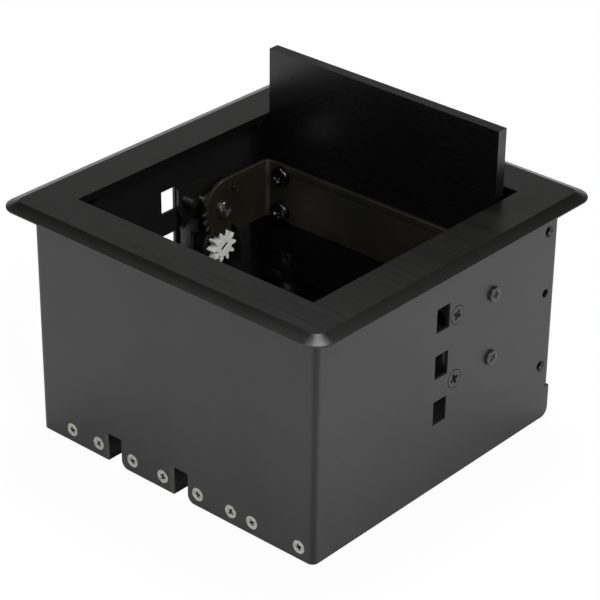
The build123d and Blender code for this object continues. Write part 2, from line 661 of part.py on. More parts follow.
# --- hinge pieces, modelled on the left and mirrored ---------------------------------------------
def hinge_plate():
    """Plate screwed to the side wall, with a tab turned in at the front that holds the spring."""
    x_span = (-INNER_X, -PLATE_INNER_X)
    z_span = (PIVOT_Z - PLATE_BELOW, PIVOT_Z + PLATE_ABOVE)
    plate = block(x_span, (PLATE_FRONT, PIVOT_Y + PLATE_BEHIND), z_span)
    bend_x = -INNER_X + FRONT_TAB_BEND_RADIUS
    bend_y = PLATE_FRONT + FRONT_TAB_BEND_RADIUS
    plate -= block(x_span, (PLATE_FRONT, bend_y), (FRONT_TAB_BOTTOM, FRONT_TAB_TOP))
    ring = Circle(FRONT_TAB_BEND_RADIUS) - Circle(FRONT_TAB_BEND_RADIUS - PLATE_SHEET)
    quarter = ring & Rectangle(
        FRONT_TAB_BEND_RADIUS, FRONT_TAB_BEND_RADIUS, align=(Align.MAX, Align.MAX)
    )
    bend = extrude(quarter, amount=FRONT_TAB_TOP - FRONT_TAB_BOTTOM)
    plate += Pos(bend_x, bend_y, FRONT_TAB_BOTTOM) * bend
    tab_y = (PLATE_FRONT, PLATE_FRONT + PLATE_SHEET)
    plate += block((bend_x, -INNER_X + FRONT_TAB_DEPTH), tab_y, (FRONT_TAB_BOTTOM, FRONT_TAB_TOP))
    ear_z = (FRONT_TAB_TOP - EAR_HEIGHT, FRONT_TAB_TOP)
    plate += block((bend_x, -INNER_X + EAR_DEPTH), tab_y, ear_z)
    through = WALL + PLATE_SHEET + CUT_PAST
    for z in SIDE_SCREW_HEIGHTS:
        flush = (-HALF_WIDTH, FLUSH_SCREW_Y, z)
        plate -= sunk_hole(flush, (1, 0, 0), M4, M4_SINK_HEAD, through)
        plate -= screw_hole((-HALF_WIDTH, RAISED_SCREW_Y, z), (1, 0, 0), M3, through)
    plate -= screw_hole((-HALF_WIDTH, PIVOT_Y, PIVOT_Z), (1, 0, 0), PIN_DIAMETER, through)
    plate -= screw_hole((-HALF_WIDTH, PIVOT_Y, GEAR_Z), (1, 0, 0), DAMPER_BOSS_DIAMETER, through)
    leg = (-SPRING_TAB_X, PLATE_FRONT - CUT_PAST, PIVOT_Z - SPRING_MEAN_RADIUS)
    leg_hole = SPRING_WIRE + 2 * WIRE_CLEARANCE
    plate -= rod(leg, (0, 1, 0), leg_hole, FRONT_TAB_BEND_RADIUS + CUT_PAST)
    return plate


def hinge_screws():
    """Two flush screws through the side wall into the hinge plate."""
    points = [(-HALF_WIDTH, FLUSH_SCREW_Y, z) for z in SIDE_SCREW_HEIGHTS]
    return group([sunk_screw(p, (1, 0, 0), M4, M4_SINK_HEAD, SIDE_SCREW_LENGTH) for p in points])


def stop_screws():
    """Two raised-head screws through the wall and the plate into the stop block."""
    points = [(-HALF_WIDTH, RAISED_SCREW_Y, z) for z in SIDE_SCREW_HEIGHTS]
    screws = [
        pan_screw(p, (1, 0, 0), M3, M3_PAN_HEAD, M3_PAN_HEIGHT, BLOCK_SCREW_LENGTH) for p in points
    ]
    return group(screws)


def stop_block():
    """Moulded block beside the arm, with a step that the open arm rests on."""
    y_span = (RAISED_SCREW_Y - BLOCK_WIDTH / 2, RAISED_SCREW_Y + BLOCK_WIDTH / 2)
    low = SIDE_SCREW_LOW - BLOCK_MARGIN
    high = SIDE_SCREW_HIGH + BLOCK_MARGIN
    rest = BRACKET_BOTTOM - SEAT_GAP
    body = block((-PLATE_INNER_X, -PLATE_INNER_X + BLOCK_DEPTH), y_span, (low, high))
    body += block((-PLATE_INNER_X, -PLATE_INNER_X + BLOCK_STEP_DEPTH), y_span, (low, rest))
    for z in SIDE_SCREW_HEIGHTS:
        depth = BLOCK_SCREW_LENGTH + SEAT_GAP
        body -= screw_hole((-HALF_WIDTH, RAISED_SCREW_Y, z), (1, 0, 0), M3, depth)
    return body


def pivot_pin():
    """Pin staked into the hinge plate, with a flat turned head inside the arm."""
    inner_face = -ARM_INNER_X + SEAT_GAP
    pin = rod((-INNER_X, PIVOT_Y, PIVOT_Z), (1, 0, 0), PIN_DIAMETER, inner_face + INNER_X)
    head = rod((inner_face, PIVOT_Y, PIVOT_Z), (1, 0, 0), PIN_HEAD_DIAMETER, PIN_HEAD_HEIGHT)
    head = chamfer(head.faces().sort_by(Axis.X)[-1].edges(), PIN_EDGE_BREAK)
    return pin + head


def pivot_bush():
    """Flanged bush pressed into the arm, running on the pin."""
    outer_face = -ARM_OUTER_X
    body = rod((outer_face, PIVOT_Y, PIVOT_Z), (1, 0, 0), BUSH_DIAMETER, BRACKET_SHEET)
    collar = (outer_face - BUSH_FLANGE_THICKNESS, PIVOT_Y, PIVOT_Z)
    body += rod(collar, (1, 0, 0), BUSH_FLANGE_DIAMETER, BUSH_FLANGE_THICKNESS)
    bore = (-HALF_WIDTH, PIVOT_Y, PIVOT_Z)
    return body - rod(bore, (1, 0, 0), PIN_DIAMETER + 2 * RUNNING_FIT, HALF_WIDTH)


def torsion_spring():
    """Spring round the pin: one leg through the plate's tab, one through the arm."""
    frame = Plane(origin=(-SPRING_START_X, PIVOT_Y, PIVOT_Z), x_dir=(0, 1, 0), z_dir=(1, 0, 0))
    height = SPRING_PITCH * SPRING_TURNS
    coil = Rot(0, 0, -90) * Helix(SPRING_PITCH, height, SPRING_MEAN_RADIUS)
    tab_leg = Line(coil @ 0 - (coil % 0) * SPRING_TAB_LEG, coil @ 0)
    corner = coil @ 1 + (coil % 1) * SPRING_LEG_RISE
    hook_end = Vector(corner.X, corner.Y, SPRING_START_X - ARM_INNER_X + SPRING_LEG_OVERRUN)
    arm_leg = FilletPolyline(coil @ 1, corner, hook_end, radius=SPRING_WIRE)
    path = Wire(tab_leg.edges() + coil.edges() + arm_leg.edges())
    section = Plane(origin=tab_leg @ 0, z_dir=tab_leg % 0) * Circle(SPRING_WIRE / 2)
    return frame.location * sweep(section, path=path, transition=Transition.RIGHT)


def damper_body():
    """Closed damper drum with a boss in the plate and a bore for the shaft."""
    start = (-PLATE_INNER_X, PIVOT_Y, GEAR_Z)
    drum = rod(start, (1, 0, 0), DAMPER_DIAMETER, DAMPER_LENGTH)
    drum = chamfer(drum.faces().sort_by(Axis.X)[-1].edges(), DAMPER_EDGE_BREAK)
    drum += rod(start, (-1, 0, 0), DAMPER_BOSS_DIAMETER, PLATE_SHEET)
    bore = (-DAMPER_FACE_X, PIVOT_Y, GEAR_Z)
    return drum - rod(bore, (-1, 0, 0), SHAFT_DIAMETER + 2 * RUNNING_FIT, SHAFT_DEPTH + SEAT_GAP)


def tang_face(clearance):
    """Section of the shaft's flattened end, or with a clearance the gear's bore for it."""
    radius = SHAFT_DIAMETER / 2 + clearance
    flats = Rectangle(2 * radius, TANG_THICKNESS + 2 * clearance)
    return Rot(0, 0, TANG_ANGLE) * (Circle(radius) & flats)


def gear_frame():
    """Plane of the gear's outer face, with its normal towards the middle of the box."""
    return Plane(origin=(-GEAR_OUTER_X, PIVOT_Y, GEAR_Z), x_dir=(0, 1, 0), z_dir=(1, 0, 0))


def damper_shaft():
    """Damper shaft: round in the drum, flattened where it drives the gear."""
    round_end = (-GEAR_OUTER_X, PIVOT_Y, GEAR_Z)
    shaft = rod(round_end, (-1, 0, 0), SHAFT_DIAMETER, GEAR_STANDOFF + SHAFT_DEPTH)
    return shaft + extrude(gear_frame() * tang_face(0), amount=GEAR_THICKNESS - TANG_RECESS)


def damper_gear():
    """Small gear in mesh with the sector, driven by the shaft's flats."""
    profile = Circle(GEAR_RADIUS - DEDENDUM * TOOTH_MODULE)
    for angle in gear_angles():
        profile += tooth_face(GEAR_TEETH, GEAR_ADDENDUM, angle)
    return extrude(gear_frame() * (profile - tang_face(RUNNING_FIT)), amount=GEAR_THICKNESS)


# --- build ---------------------------------------------------------------------------------------
def main():
    """Build every node and write its STEP file."""
    os.makedirs("parts", exist_ok=True)
    export(housing_shell(), "housing_shell")
    export(rear_panel(), "rear_panel")
    export(base_pan(), "base_pan")
    export(bezel_frame(), "bezel_frame")
    export(bezel_nuts(), "bezel_nuts")

    front = [(x, -HALF_DEPTH, PAN_SCREW_HEIGHT) for x in FRONT_SCREW_PLACES]
    sunk = [sunk_screw(p, (0, 1, 0), M3, M3_SINK_HEAD, SHORT_SCREW) for p in front]
    export(group(sunk), "front_pan_screws")
    rear = [sunk_screw(p, (0, -1, 0), M3, M3_SINK_HEAD, SHORT_SCREW) for p in rear_screw_points()]
    export(group(rear), "rear_panel_screws")
    pan = [sunk_screw(p, (0, -1, 0), M3, M3_SINK_HEAD, SHORT_SCREW) for p in rear_pan_points()]
    export(group(pan), "rear_pan_screws")

    export(lid_panel(), "lid_panel")
    export(lid_bracket(), "lid_bracket")
    export(lid_stop_tabs(), "lid_stop_tabs")
    stops = [sunk_screw(p, (0, 1, 0), M3, M3_SINK_HEAD, STOP_SCREW_LENGTH) for p in stop_screw_points()]
    export(group(stops), "lid_stop_screws")
    lid_screws = [
        pan_screw(p, (0, 1, 0), M4, M4_PAN_HEAD, M4_PAN_HEIGHT, LID_SCREW_LENGTH)
        for p in bracket_screw_points()
    ]
    export(group(lid_screws), "lid_bracket_screws")

    hinge_pieces = {
        "hinge_plate": hinge_plate(),
        "hinge_screws": hinge_screws(),
        "stop_screws": stop_screws(),
        "stop_block": stop_block(),
        "pivot_pin": pivot_pin(),
        "pivot_bush": pivot_bush(),
        "torsion_spring": torsion_spring(),
        "damper_body": damper_body(),
        "damper_shaft": damper_shaft(),
        "damper_gear": damper_gear(),
    }
    for name, piece in hinge_pieces.items():
        export(piece, f"left_{name}")
        export(mirrored(piece), f"right_{name}")


main()
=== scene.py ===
"""Looks for a table-top cable box: a folded steel case hung from a bevelled frame, and its lid.

Everything is in metres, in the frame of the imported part: X runs along the front wall, Y from the
front to the rear and Z up, with the origin in the middle of the underside.
"""

from __future__ import annotations

import json
import logging
import math
from dataclasses import dataclass
from enum import Enum
from functools import cached_property
from typing import Mapping, Sequence

import bmesh
import bpy
from mathutils import Matrix, Vector


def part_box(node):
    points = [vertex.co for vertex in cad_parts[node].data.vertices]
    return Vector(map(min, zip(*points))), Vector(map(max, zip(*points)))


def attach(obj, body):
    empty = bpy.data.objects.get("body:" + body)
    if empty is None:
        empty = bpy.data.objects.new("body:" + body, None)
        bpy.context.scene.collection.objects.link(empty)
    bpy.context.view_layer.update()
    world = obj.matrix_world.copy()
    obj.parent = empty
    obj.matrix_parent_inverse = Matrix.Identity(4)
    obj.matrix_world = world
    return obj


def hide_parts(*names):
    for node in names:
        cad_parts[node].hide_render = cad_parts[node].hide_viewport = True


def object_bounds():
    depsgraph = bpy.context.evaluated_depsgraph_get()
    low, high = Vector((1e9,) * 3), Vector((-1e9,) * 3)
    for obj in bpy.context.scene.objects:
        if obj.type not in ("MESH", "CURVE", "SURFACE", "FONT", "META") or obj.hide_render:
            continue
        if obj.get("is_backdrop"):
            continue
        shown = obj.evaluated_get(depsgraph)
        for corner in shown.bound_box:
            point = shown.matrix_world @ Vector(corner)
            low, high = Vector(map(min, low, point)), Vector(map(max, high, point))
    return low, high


LOG = logging.getLogger("cable_box")
MM = 0.001
WELD_DISTANCE = 1e-6
WHITE = (1.0, 1.0, 1.0, 1.0)
Point = tuple[float, float, float]
Ramp = tuple[float, float]
Ring = list[Vector]


# --- shader helpers ---
@dataclass(frozen=True)
class Value:
    """A number on a shader socket, where arithmetic adds Math nodes."""

    graph: Graph
    socket: bpy.types.NodeSocket

    def maths(self, operation: str, *operands: Value | float) -> Value:
        """Add one Math node on the operands, in order, and return its result."""
        inputs = dict(enumerate(operands))
        return self.graph.value("ShaderNodeMath", {"operation": operation}, inputs)

    def __add__(self, other: Value | float) -> Value:
        """Sum."""
        return self.maths("ADD", self, other)

    __radd__ = __add__

    def __sub__(self, other: Value | float) -> Value:
        """Difference."""
        return self.maths("SUBTRACT", self, other)

    def __rsub__(self, other: float) -> Value:
        """Difference, from a plain number."""
        return self.maths("SUBTRACT", other, self)

    def __mul__(self, other: Value | float) -> Value:
        """Product."""
        return self.maths("MULTIPLY", self, other)

    def __abs__(self) -> Value:
        """Size, without its sign."""
        return self.maths("ABSOLUTE", self)

    def sine(self) -> Value:
        """Return the sine of this angle, in radians."""
        return self.maths("SINE", self)

    def larger(self, other: Value | float) -> Value:
        """Return the larger of this value and another."""
        return self.maths("MAXIMUM", self, other)

    def reach(self, other: Value) -> Value:
        """Return how far the point with these two coordinates is from the origin."""
        return self.maths("POWER", self * self + other * other, 0.5)

    def sway(self, share: float) -> Value:
        """Return how far a noise is from its middle, times a share."""
        return (self - 0.5) * share

    def between(self, low: float, high: float) -> Value:
        """Ramp this value smoothly from 0 at low to 1 at high.

        Args:
            low: Where the ramp starts.
            high: Where it ends.

        Returns:
            The ramp.
        """
        inputs = {"Value": self, "From Min": low, "From Max": high}
        settings = {"interpolation_type": "SMOOTHSTEP"}
        return self.graph.value("ShaderNodeMapRange", settings, inputs)

    def within(self, start: Ramp, end: Ramp) -> Value:
        """Return 1 where this value is past the start and short of the end."""
        return self.between(*start) * self.between(*end)


class Graph:
    """The node tree of one material or of the surround."""

    def __init__(self, owner: bpy.types.Material | bpy.types.World) -> None:
        """Empty the owner's node tree.

        Args:
            owner: The material or world.
        """
        self.owner = owner
        owner.use_nodes = True
        self.tree = owner.node_tree
        self.tree.nodes.clear()

    @classmethod
    def named(cls, name: str) -> Graph:
        """Return the graph of a new material of that name."""
        return cls(bpy.data.materials.new(name))

    def add(
        self,
        kind: str,
        settings: Mapping[str, object] | None = None,
        inputs: Mapping[str | int, object] | None = None,
    ) -> bpy.types.Node:
        """Add any node.

        Args:
            kind: The node's type.
            settings: Its properties.
            inputs: Values or links for its sockets, by name or number.

        Returns:
            The node.
        """
        node = self.tree.nodes.new(kind)
        for name, setting in (settings or {}).items():
            setattr(node, name, setting)
        for key, item in (inputs or {}).items():
            socket = node.inputs[key]
            if isinstance(item, Value):
                self.tree.links.new(item.socket, socket)
            elif isinstance(item, bpy.types.NodeSocket):
                self.tree.links.new(item, socket)
            else:
                socket.default_value = item
        return node

    def value(
        self,
        kind: str,
        settings: Mapping[str, object] | None = None,
        inputs: Mapping[str | int, object] | None = None,
        output: str | int = 0,
    ) -> Value:
        """Add any node, and return one of its outputs, by name or number, wrapped."""
        return Value(self, self.add(kind, settings, inputs).outputs[output])

    def place(self, stretch: Point = (1.0, 1.0, 1.0)) -> Value:
        """Return the piece's own coordinates in metres, times a factor along each axis."""
        own = self.value("ShaderNodeTexCoord", output="Object")
        return self.value("ShaderNodeVectorMath", {"operation": "MULTIPLY"}, {0: own, 1: stretch})

    def axes(self) -> tuple[Value, ...]:
        """Return the X, Y and Z coordinates of the piece itself, in metres."""
        node = self.add("ShaderNodeSeparateXYZ", None, {0: self.place()})
        return tuple(Value(self, node.outputs[axis]) for axis in "XYZ")

    def noise(self, size: float, detail: float = 2.0, stretch: Point = (1.0, 1.0, 1.0)) -> Value:
        """Return smooth noise around 0.5, with blotches of a size divided by the stretch."""
        inputs = {"Vector": self.place(stretch), "Scale": 1.0 / size, "Detail": detail}
        return self.value("ShaderNodeTexNoise", {"noise_dimensions": "3D"}, inputs)

    def blend(self, factor: Value, low: Point | Value, high: Point) -> Value:
        """Mix two colours.

        Args:
            factor: How much of the second.
            low: The first colour, which may itself be mixed.
            high: The second colour.

        Returns:
            The mixed colour.
        """
        first = low if isinstance(low, Value) else (*low, 1.0)
        inputs = {"Factor": factor, 6: first, 7: (*high, 1.0)}
        return self.value("ShaderNodeMix", {"data_type": "RGBA"}, inputs, output=2)

    def bump(self, height: Value, depth: float, under: Value | None = None) -> Value:
        """Turn a height into a surface normal.

        Args:
            height: The height, 0 to 1.
            depth: The real depth of one unit of height, in metres.
            under: A bump below this one.

        Returns:
            The normal.
        """
        inputs = {"Height": height, "Distance": depth}
        if under is not None:
            inputs["Normal"] = under
        return self.value("ShaderNodeBump", None, inputs)

    def finish(
        self, colour: Value, roughness: Value, normal: Value, metallic: Value | float = 0.0
    ) -> bpy.types.Material:
        """Close the material with a Principled surface.

        Args:
            colour: The base colour.
            roughness: How rough the surface is.
            normal: The normal that carries the bumps.
            metallic: How much of a metal it is.

        Returns:
            The material.
        """
        inputs = {"Base Color": colour, "Metallic": metallic, "Roughness": roughness}
        surface = self.add("ShaderNodeBsdfPrincipled", None, inputs | {"Normal": normal})
        self.add("ShaderNodeOutputMaterial", None, {"Surface": surface.outputs[0]})
        return self.owner


# --- finishes ---
@dataclass(frozen=True)
class PowderCoat:
    """Fine satin black powder coat on the case's sheet, with painted shade in places and painted
    highlights by the notches.

    Every ramp holds where a mask starts and where it is full, in metres or in units of noise.
    """

    name: str = "powder_coat"
    colour: Point = (0.0115, 0.0115, 0.0125)
    fresh: Point = (0.017, 0.017, 0.018)
    # The colour of the painted shade: dark, with little reflection once mixed towards metal.
    dull: Point = (0.005, 0.005, 0.0045)
    painted_highlight: Point = (0.029, 0.028, 0.0255)
    roughness: float = 0.42
    spread: float = 0.1
    shade_metallic: float = 0.9
    cloud_size: float = 24 * MM
    cloud_detail: float = 3.0
    cloud_ramp: Ramp = (0.3, 0.7)
    peel_size: float = 0.7 * MM
    peel_detail: float = 1.0
    peel_depth: float = 0.010 * MM
    fleck_size: float = 0.35 * MM
    fleck_detail: float = 3.0
    fleck_depth: float = 0.004 * MM
    fleck_polish: float = 0.06
    fleck_ramp: Ramp = (0.66, 0.76)
    half: float = 67.5 * MM
    behind_front: Ramp = (0.3 * MM, 0.8 * MM)
    fold_ramp: Ramp = (1.976 * MM, 1.586 * MM)
    fold_share: float = 0.32
    inner_start: Ramp = (64.3 * MM, 64.7 * MM)
    inner_end: Ramp = (66.9 * MM, 66.6 * MM)
    inner_share: float = 0.3
    notch_middle: float = -12.3 * MM
    notch_offset: float = 16.7 * MM
    notch_side: Ramp = (3.8 * MM, 3.4 * MM)
    notch_top: Ramp = (12.1 * MM, 11.8 * MM)
    notch_rear: Ramp = (29.0 * MM, 28.0 * MM)
    strip_edges: Sequence[float] = (-32.4 * MM, 1.0 * MM)
    strip_left: Ramp = (-2.1 * MM, -1.8 * MM)
    strip_right: Ramp = (0.3 * MM, 0.1 * MM)
    strip_top: Ramp = (11.3 * MM, 10.8 * MM)
    strip_depth: Ramp = (0.5 * MM, 0.3 * MM)

    def highlight_strips(self, graph: Graph) -> Value:
        """Where a highlight is painted: on the front, along the left edge of each notch.

        Args:
            graph: The graph to add the nodes to.

        Returns:
            1 on the two strips, else 0.
        """
        across, along, up = graph.axes()
        low = up.between(*self.strip_top) * (along + self.half).between(*self.strip_depth)
        first, second = (
            (across - edge).within(self.strip_left, self.strip_right) for edge in self.strip_edges
        )
        return (first + second) * low

    def painted_shade(self, graph: Graph) -> Value:
        """Where shade is painted: on the front folds, the walls' inner faces and in the notches.

        Args:
            graph: The graph to add the nodes to.

        Returns:
            0 where no shade is painted, up to 1.
        """
        across, along, up = graph.axes()
        side, deep = abs(across), along + self.half
        behind = deep.between(*self.behind_front)
        fold = (self.half - side + deep).between(*self.fold_ramp) * self.fold_share
        notch = abs(abs(across - self.notch_middle) - self.notch_offset)
        notch = notch.between(*self.notch_side) * up.between(*self.notch_top)
        notch = notch * behind * deep.between(*self.notch_rear)
        inner = side.within(self.inner_start, self.inner_end)
        return notch.larger((inner * behind * self.inner_share).larger(fold))

    def build(self) -> bpy.types.Material:
        """Build the finish.

        Returns:
            Its material.
        """
        graph = Graph.named(self.name)
        painted_shade = self.painted_shade(graph)
        cloud = graph.noise(self.cloud_size, self.cloud_detail)
        peel = graph.noise(self.peel_size, self.peel_detail)
        fleck = graph.noise(self.fleck_size, self.fleck_detail).between(*self.fleck_ramp)
        colour = graph.blend(cloud.between(*self.cloud_ramp), self.colour, self.fresh)
        # Painted shade: the coat turns dark in the notches, on the front folds and on the walls'
        # inner faces.
        colour = graph.blend(painted_shade, colour, self.dull)
        # Painted highlight along the left edge of each notch, where the rounded edge catches the
        # light.
        colour = graph.blend(self.highlight_strips(graph), colour, self.painted_highlight)
        uneven = cloud.sway(self.spread) + peel.sway(self.spread) - fleck * self.fleck_polish
        normal = graph.bump(fleck, self.fleck_depth, graph.bump(peel, self.peel_depth))
        # The painted shade also takes the coat towards metal, which dims its reflection.
        return graph.finish(colour, self.roughness + uneven, normal, painted_shade * self.shade_metallic)


@dataclass(frozen=True)
class BrushedAnodised:
    """Brushed and black-anodised aluminium, with its grain along X.

    On the frame, shade is painted along the bevel's upper edge by a darker metallic film, and a
    highlight is painted at the foot of the bevels that the grain follows.
    """

    name: str
    colour: Point = (0.0014, 0.0013, 0.0011)
    streak: Point = (0.0042, 0.0039, 0.0033)
    roughness: float = 0.34
    contrast: float = 0.18
    grain_width: float = 0.3 * MM
    grain_depth: float = 0.004 * MM
    grain_run: float = 0.012
    broad_width: float = 5 * MM
    broad_run: float = 0.05
    broad_share: float = 0.4
    streak_ramp: Ramp = (0.3, 0.75)
    cloud_size: float = 40 * MM
    cloud_spread: float = 0.08
    bevelled: bool = False
    corner_centre: float = 68.5 * MM
    bevel_edge: Ramp = (3.1 * MM, 3.3 * MM)
    bevel_face: Ramp = (3.2 * MM, 8.0 * MM)
    bevel_highlight: Point = (0.0085, 0.0083, 0.0078)
    bevel_shade_share: float = 0.32

    def outside(self, graph: Graph) -> tuple[Value, Value]:
        """How far a point is outside the square through the corners' centres.

        Args:
            graph: The graph to add the nodes to.

        Returns:
            The distance in all and the distance along Y alone, in metres.
        """
        sideways, lengthwise = (
            (abs(place) - self.corner_centre).larger(0.0) for place in graph.axes()[:2]
        )
        return sideways.reach(lengthwise), lengthwise

    def build(self) -> bpy.types.Material:
        """Build the finish.

        Returns:
            Its material.
        """
        graph = Graph.named(self.name)
        grain = graph.noise(self.grain_width, stretch=(self.grain_run, 1.0, 1.0))
        broad = graph.noise(self.broad_width, stretch=(self.broad_run, 1.0, 1.0))
        streaks = grain * (1.0 - self.broad_share) + broad * self.broad_share
        colour = graph.blend(streaks.between(*self.streak_ramp), self.colour, self.streak)
        uneven = grain.sway(self.contrast) + graph.noise(self.cloud_size).sway(self.cloud_spread)
        metallic = 0.0
        if self.bevelled:
            outside, lengthwise = self.outside(graph)
            # Painted highlight at the foot of the front and rear bevels.
            colour = graph.blend(lengthwise.between(*self.bevel_face), colour, self.bevel_highlight)
            # Painted shade along each bevel's upper edge: the film turns towards dark metal there,
            # which dims its reflection.
            bevel_shade = outside.between(*self.bevel_edge) * (1.0 - outside.between(*self.bevel_face))
            metallic = bevel_shade * self.bevel_shade_share
        normal = graph.bump(grain, self.grain_depth)
        return graph.finish(colour, self.roughness + uneven, normal, metallic)


@dataclass(frozen=True)
class PlatedSteel:
    """Black plating on pressed steel, with a brown cast, a little dry staining and a painted
    highlight along a fold, where one is given.
    """

    name: str
    colour: Point = (0.016, 0.0155, 0.0105)
    stain: Point = (0.027, 0.0235, 0.0145)
    roughness: float = 0.36
    metallic: float = 0.3
    cloud_size: float = 16 * MM
    cloud_ramp: Ramp = (0.25, 0.8)
    cloud_spread: float = 0.1
    rolled_width: float = 0.9 * MM
    rolled_run: float = 0.08
    rolled_spread: float = 0.07
    rolled_depth: float = 0.003 * MM
    fold: tuple[float, float] | None = None
    fold_ramp: Ramp = (1.25 * MM, 0.4375 * MM)
    bend_highlight: Point = (0.058, 0.054, 0.047)

    def bend_highlight_mask(self, graph: Graph) -> Value:
        """Where a highlight is painted, which is most on the middle of a fold.

        Args:
            graph: The graph to add the nodes to.

        Returns:
            1 on the line of the fold, on either side of the box, and 0 off it.
        """
        across, along, _ = graph.axes()
        across, along = abs(across) - self.fold[0], along - self.fold[1]
        return across.reach(along).between(*self.fold_ramp)

    def build(self) -> bpy.types.Material:
        """Build the finish.

        Returns:
            Its material.
        """
        graph = Graph.named(self.name)
        cloud = graph.noise(self.cloud_size)
        rolled = graph.noise(self.rolled_width, stretch=(self.rolled_run, self.rolled_run, 1.0))
        colour = graph.blend(cloud.between(*self.cloud_ramp), self.colour, self.stain)
        if self.fold:
            # Painted highlight along the middle of the fold.
            colour = graph.blend(self.bend_highlight_mask(graph), colour, self.bend_highlight)
        uneven = cloud.sway(self.cloud_spread) + rolled.sway(self.rolled_spread)
        normal = graph.bump(rolled, self.rolled_depth)
        return graph.finish(colour, self.roughness + uneven, normal, self.metallic)


@dataclass(frozen=True)
class TurnedMetal:
    """Metal turned about the piece's own Z axis, with fine rings, dull patches and painted shade in
    the recess.
    """

    name: str
    colour: Point
    # The dull patches' colour, which the recess also takes as painted shade.
    dull: Point
    roughness: float
    metallic: float = 1.0
    ring_width: float = 0.3 * MM
    ring_depth: float = 0.004 * MM
    cloud_size: float = 1.8 * MM
    cloud_detail: float = 3.0
    cloud_ramp: Ramp = (0.25, 0.8)
    cloud_share: float = 0.6
    cloud_spread: float = 0.14
    recess: Ramp = (-1.0, -2.0)
    recess_rough: float = 0.2

    def build(self) -> bpy.types.Material:
        """Build the finish.

        Returns:
            Its material.
        """
        graph = Graph.named(self.name)
        across, along, up = graph.axes()
        angle = across.reach(along) * (2 * math.pi / self.ring_width)
        rings = angle.sine() * 0.5 + 0.5
        cloud = graph.noise(self.cloud_size, self.cloud_detail)
        deep = up.between(*self.recess)
        patch = cloud.between(*self.cloud_ramp) * self.cloud_share
        # Painted shade: the recess turns to the dull colour.
        colour = graph.blend(patch.larger(deep), self.colour, self.dull)
        uneven = cloud.sway(self.cloud_spread) + deep * self.recess_rough
        normal = graph.bump(rings, self.ring_depth)
        return graph.finish(colour, self.roughness + uneven, normal, self.metallic)


@dataclass(frozen=True)
class DrawnMetal:
    """Plated or drawn steel with small dull patches and a fine grain."""

    name: str
    colour: Point
    dull: Point
    roughness: float
    metallic: float = 1.0
    cloud_size: float = 1.6 * MM
    cloud_detail: float = 3.0
    cloud_ramp: Ramp = (0.3, 0.75)
    cloud_spread: float = 0.18
    grain_size: float = 0.22 * MM
    grain_detail: float = 1.0
    grain_spread: float = 0.08
    grain_depth: float = 0.004 * MM

    def build(self) -> bpy.types.Material:
        """Build the finish.

        Returns:
            Its material.
        """
        graph = Graph.named(self.name)
        cloud = graph.noise(self.cloud_size, self.cloud_detail)
        grain = graph.noise(self.grain_size, self.grain_detail)
        colour = graph.blend(cloud.between(*self.cloud_ramp), self.colour, self.dull)
        uneven = cloud.sway(self.cloud_spread) + grain.sway(self.grain_spread)
        normal = graph.bump(grain, self.grain_depth)
        return graph.finish(colour, self.roughness + uneven, normal, self.metallic)


@dataclass(frozen=True)
class Moulding(DrawnMetal):
    """Moulded plastic with a fine spark-eroded grain."""

    roughness: float = 0.48
    metallic: float = 0.0
    cloud_size: float = 4 * MM
    cloud_detail: float = 2.0
    cloud_ramp: Ramp = (0.3, 0.7)
    cloud_spread: float = 0.0
    grain_size: float = 0.16 * MM
    grain_detail: float = 2.0
    grain_spread: float = 0.16
    grain_depth: float = 0.006 * MM


class Look(Enum):
    """Every finish on the box, by the name that the pieces ask for."""

    POWDER_COAT = PowderCoat()
    ANODISED_FRAME = BrushedAnodised("anodised_frame", bevelled=True)
    ANODISED_LID = BrushedAnodised(
        "anodised_lid", (0.0013, 0.0013, 0.0014), (0.003, 0.003, 0.0031), roughness=0.27,
        contrast=0.07,
    )
    PLATED_STEEL = PlatedSteel("plated_steel", fold=(53.13 * MM, 41.83 * MM))
    BLACK_STEEL = PlatedSteel(
        "black_steel", (0.005, 0.005, 0.005), (0.009, 0.009, 0.0085), roughness=0.4
    )
    DARK_STEEL = PlatedSteel(
        "dark_steel", (0.012, 0.012, 0.0115), (0.017, 0.017, 0.016), roughness=0.31
    )
    # Painted highlight on the rounded sheet edges: a lighter, more metallic plating colour.
    SHEARED_EDGE = PlatedSteel(
        "sheared_edge", (0.05, 0.048, 0.04), (0.08, 0.076, 0.06), roughness=0.34, metallic=0.7
    )
    NICKEL = TurnedMetal(
        "nickel", (0.72, 0.71, 0.66), (0.12, 0.117, 0.105), roughness=0.34,
        recess=(-0.05 * MM, -0.5 * MM),
    )
    BLACK_FLUSH = TurnedMetal(
        "black_flush", (0.014, 0.014, 0.014), (0.003, 0.003, 0.003), roughness=0.36, metallic=0.0,
        recess=(-0.15 * MM, -0.7 * MM),
    )
    BLACK_BRIGHT = TurnedMetal("black_bright", (0.1, 0.1, 0.1), (0.06, 0.06, 0.06), roughness=0.19)
    BLACK_RAISED = TurnedMetal(
        "black_raised", (0.02, 0.02, 0.02), (0.008, 0.008, 0.008), roughness=0.24, metallic=0.0
    )
    TURNED_STEEL = TurnedMetal("turned_steel", (0.66, 0.65, 0.6), (0.4, 0.39, 0.35), roughness=0.22)
    BLACK_NUT = DrawnMetal("black_nut", (0.035, 0.035, 0.034), (0.02, 0.02, 0.02), roughness=0.4)
    SPRING_STEEL = DrawnMetal(
        "spring_steel", (0.2, 0.19, 0.17), (0.1, 0.095, 0.085), roughness=0.34
    )
    BLACK_MOULDING = Moulding("black_moulding", (0.004, 0.004, 0.004), (0.006, 0.006, 0.006))
    WHITE_MOULDING = Moulding(
        "white_moulding", (0.77, 0.77, 0.75), (0.71, 0.71, 0.69), roughness=0.42
    )
    BUSH_MOULDING = Moulding("bush_moulding", (0.03, 0.03, 0.03), (0.05, 0.05, 0.048))

    @cached_property
    def material(self) -> bpy.types.Material:
        """The finish's material, made the first time it is asked for."""
        return self.value.build()


# --- mesh helpers ---
class Side(Enum):
    """The two sides of the box, seen from the front."""

    LEFT = -1
    RIGHT = 1

    def node(self, name: str) -> str:
        """Return the name of this side's node."""
        return f"{self.name.lower()}_{name}"


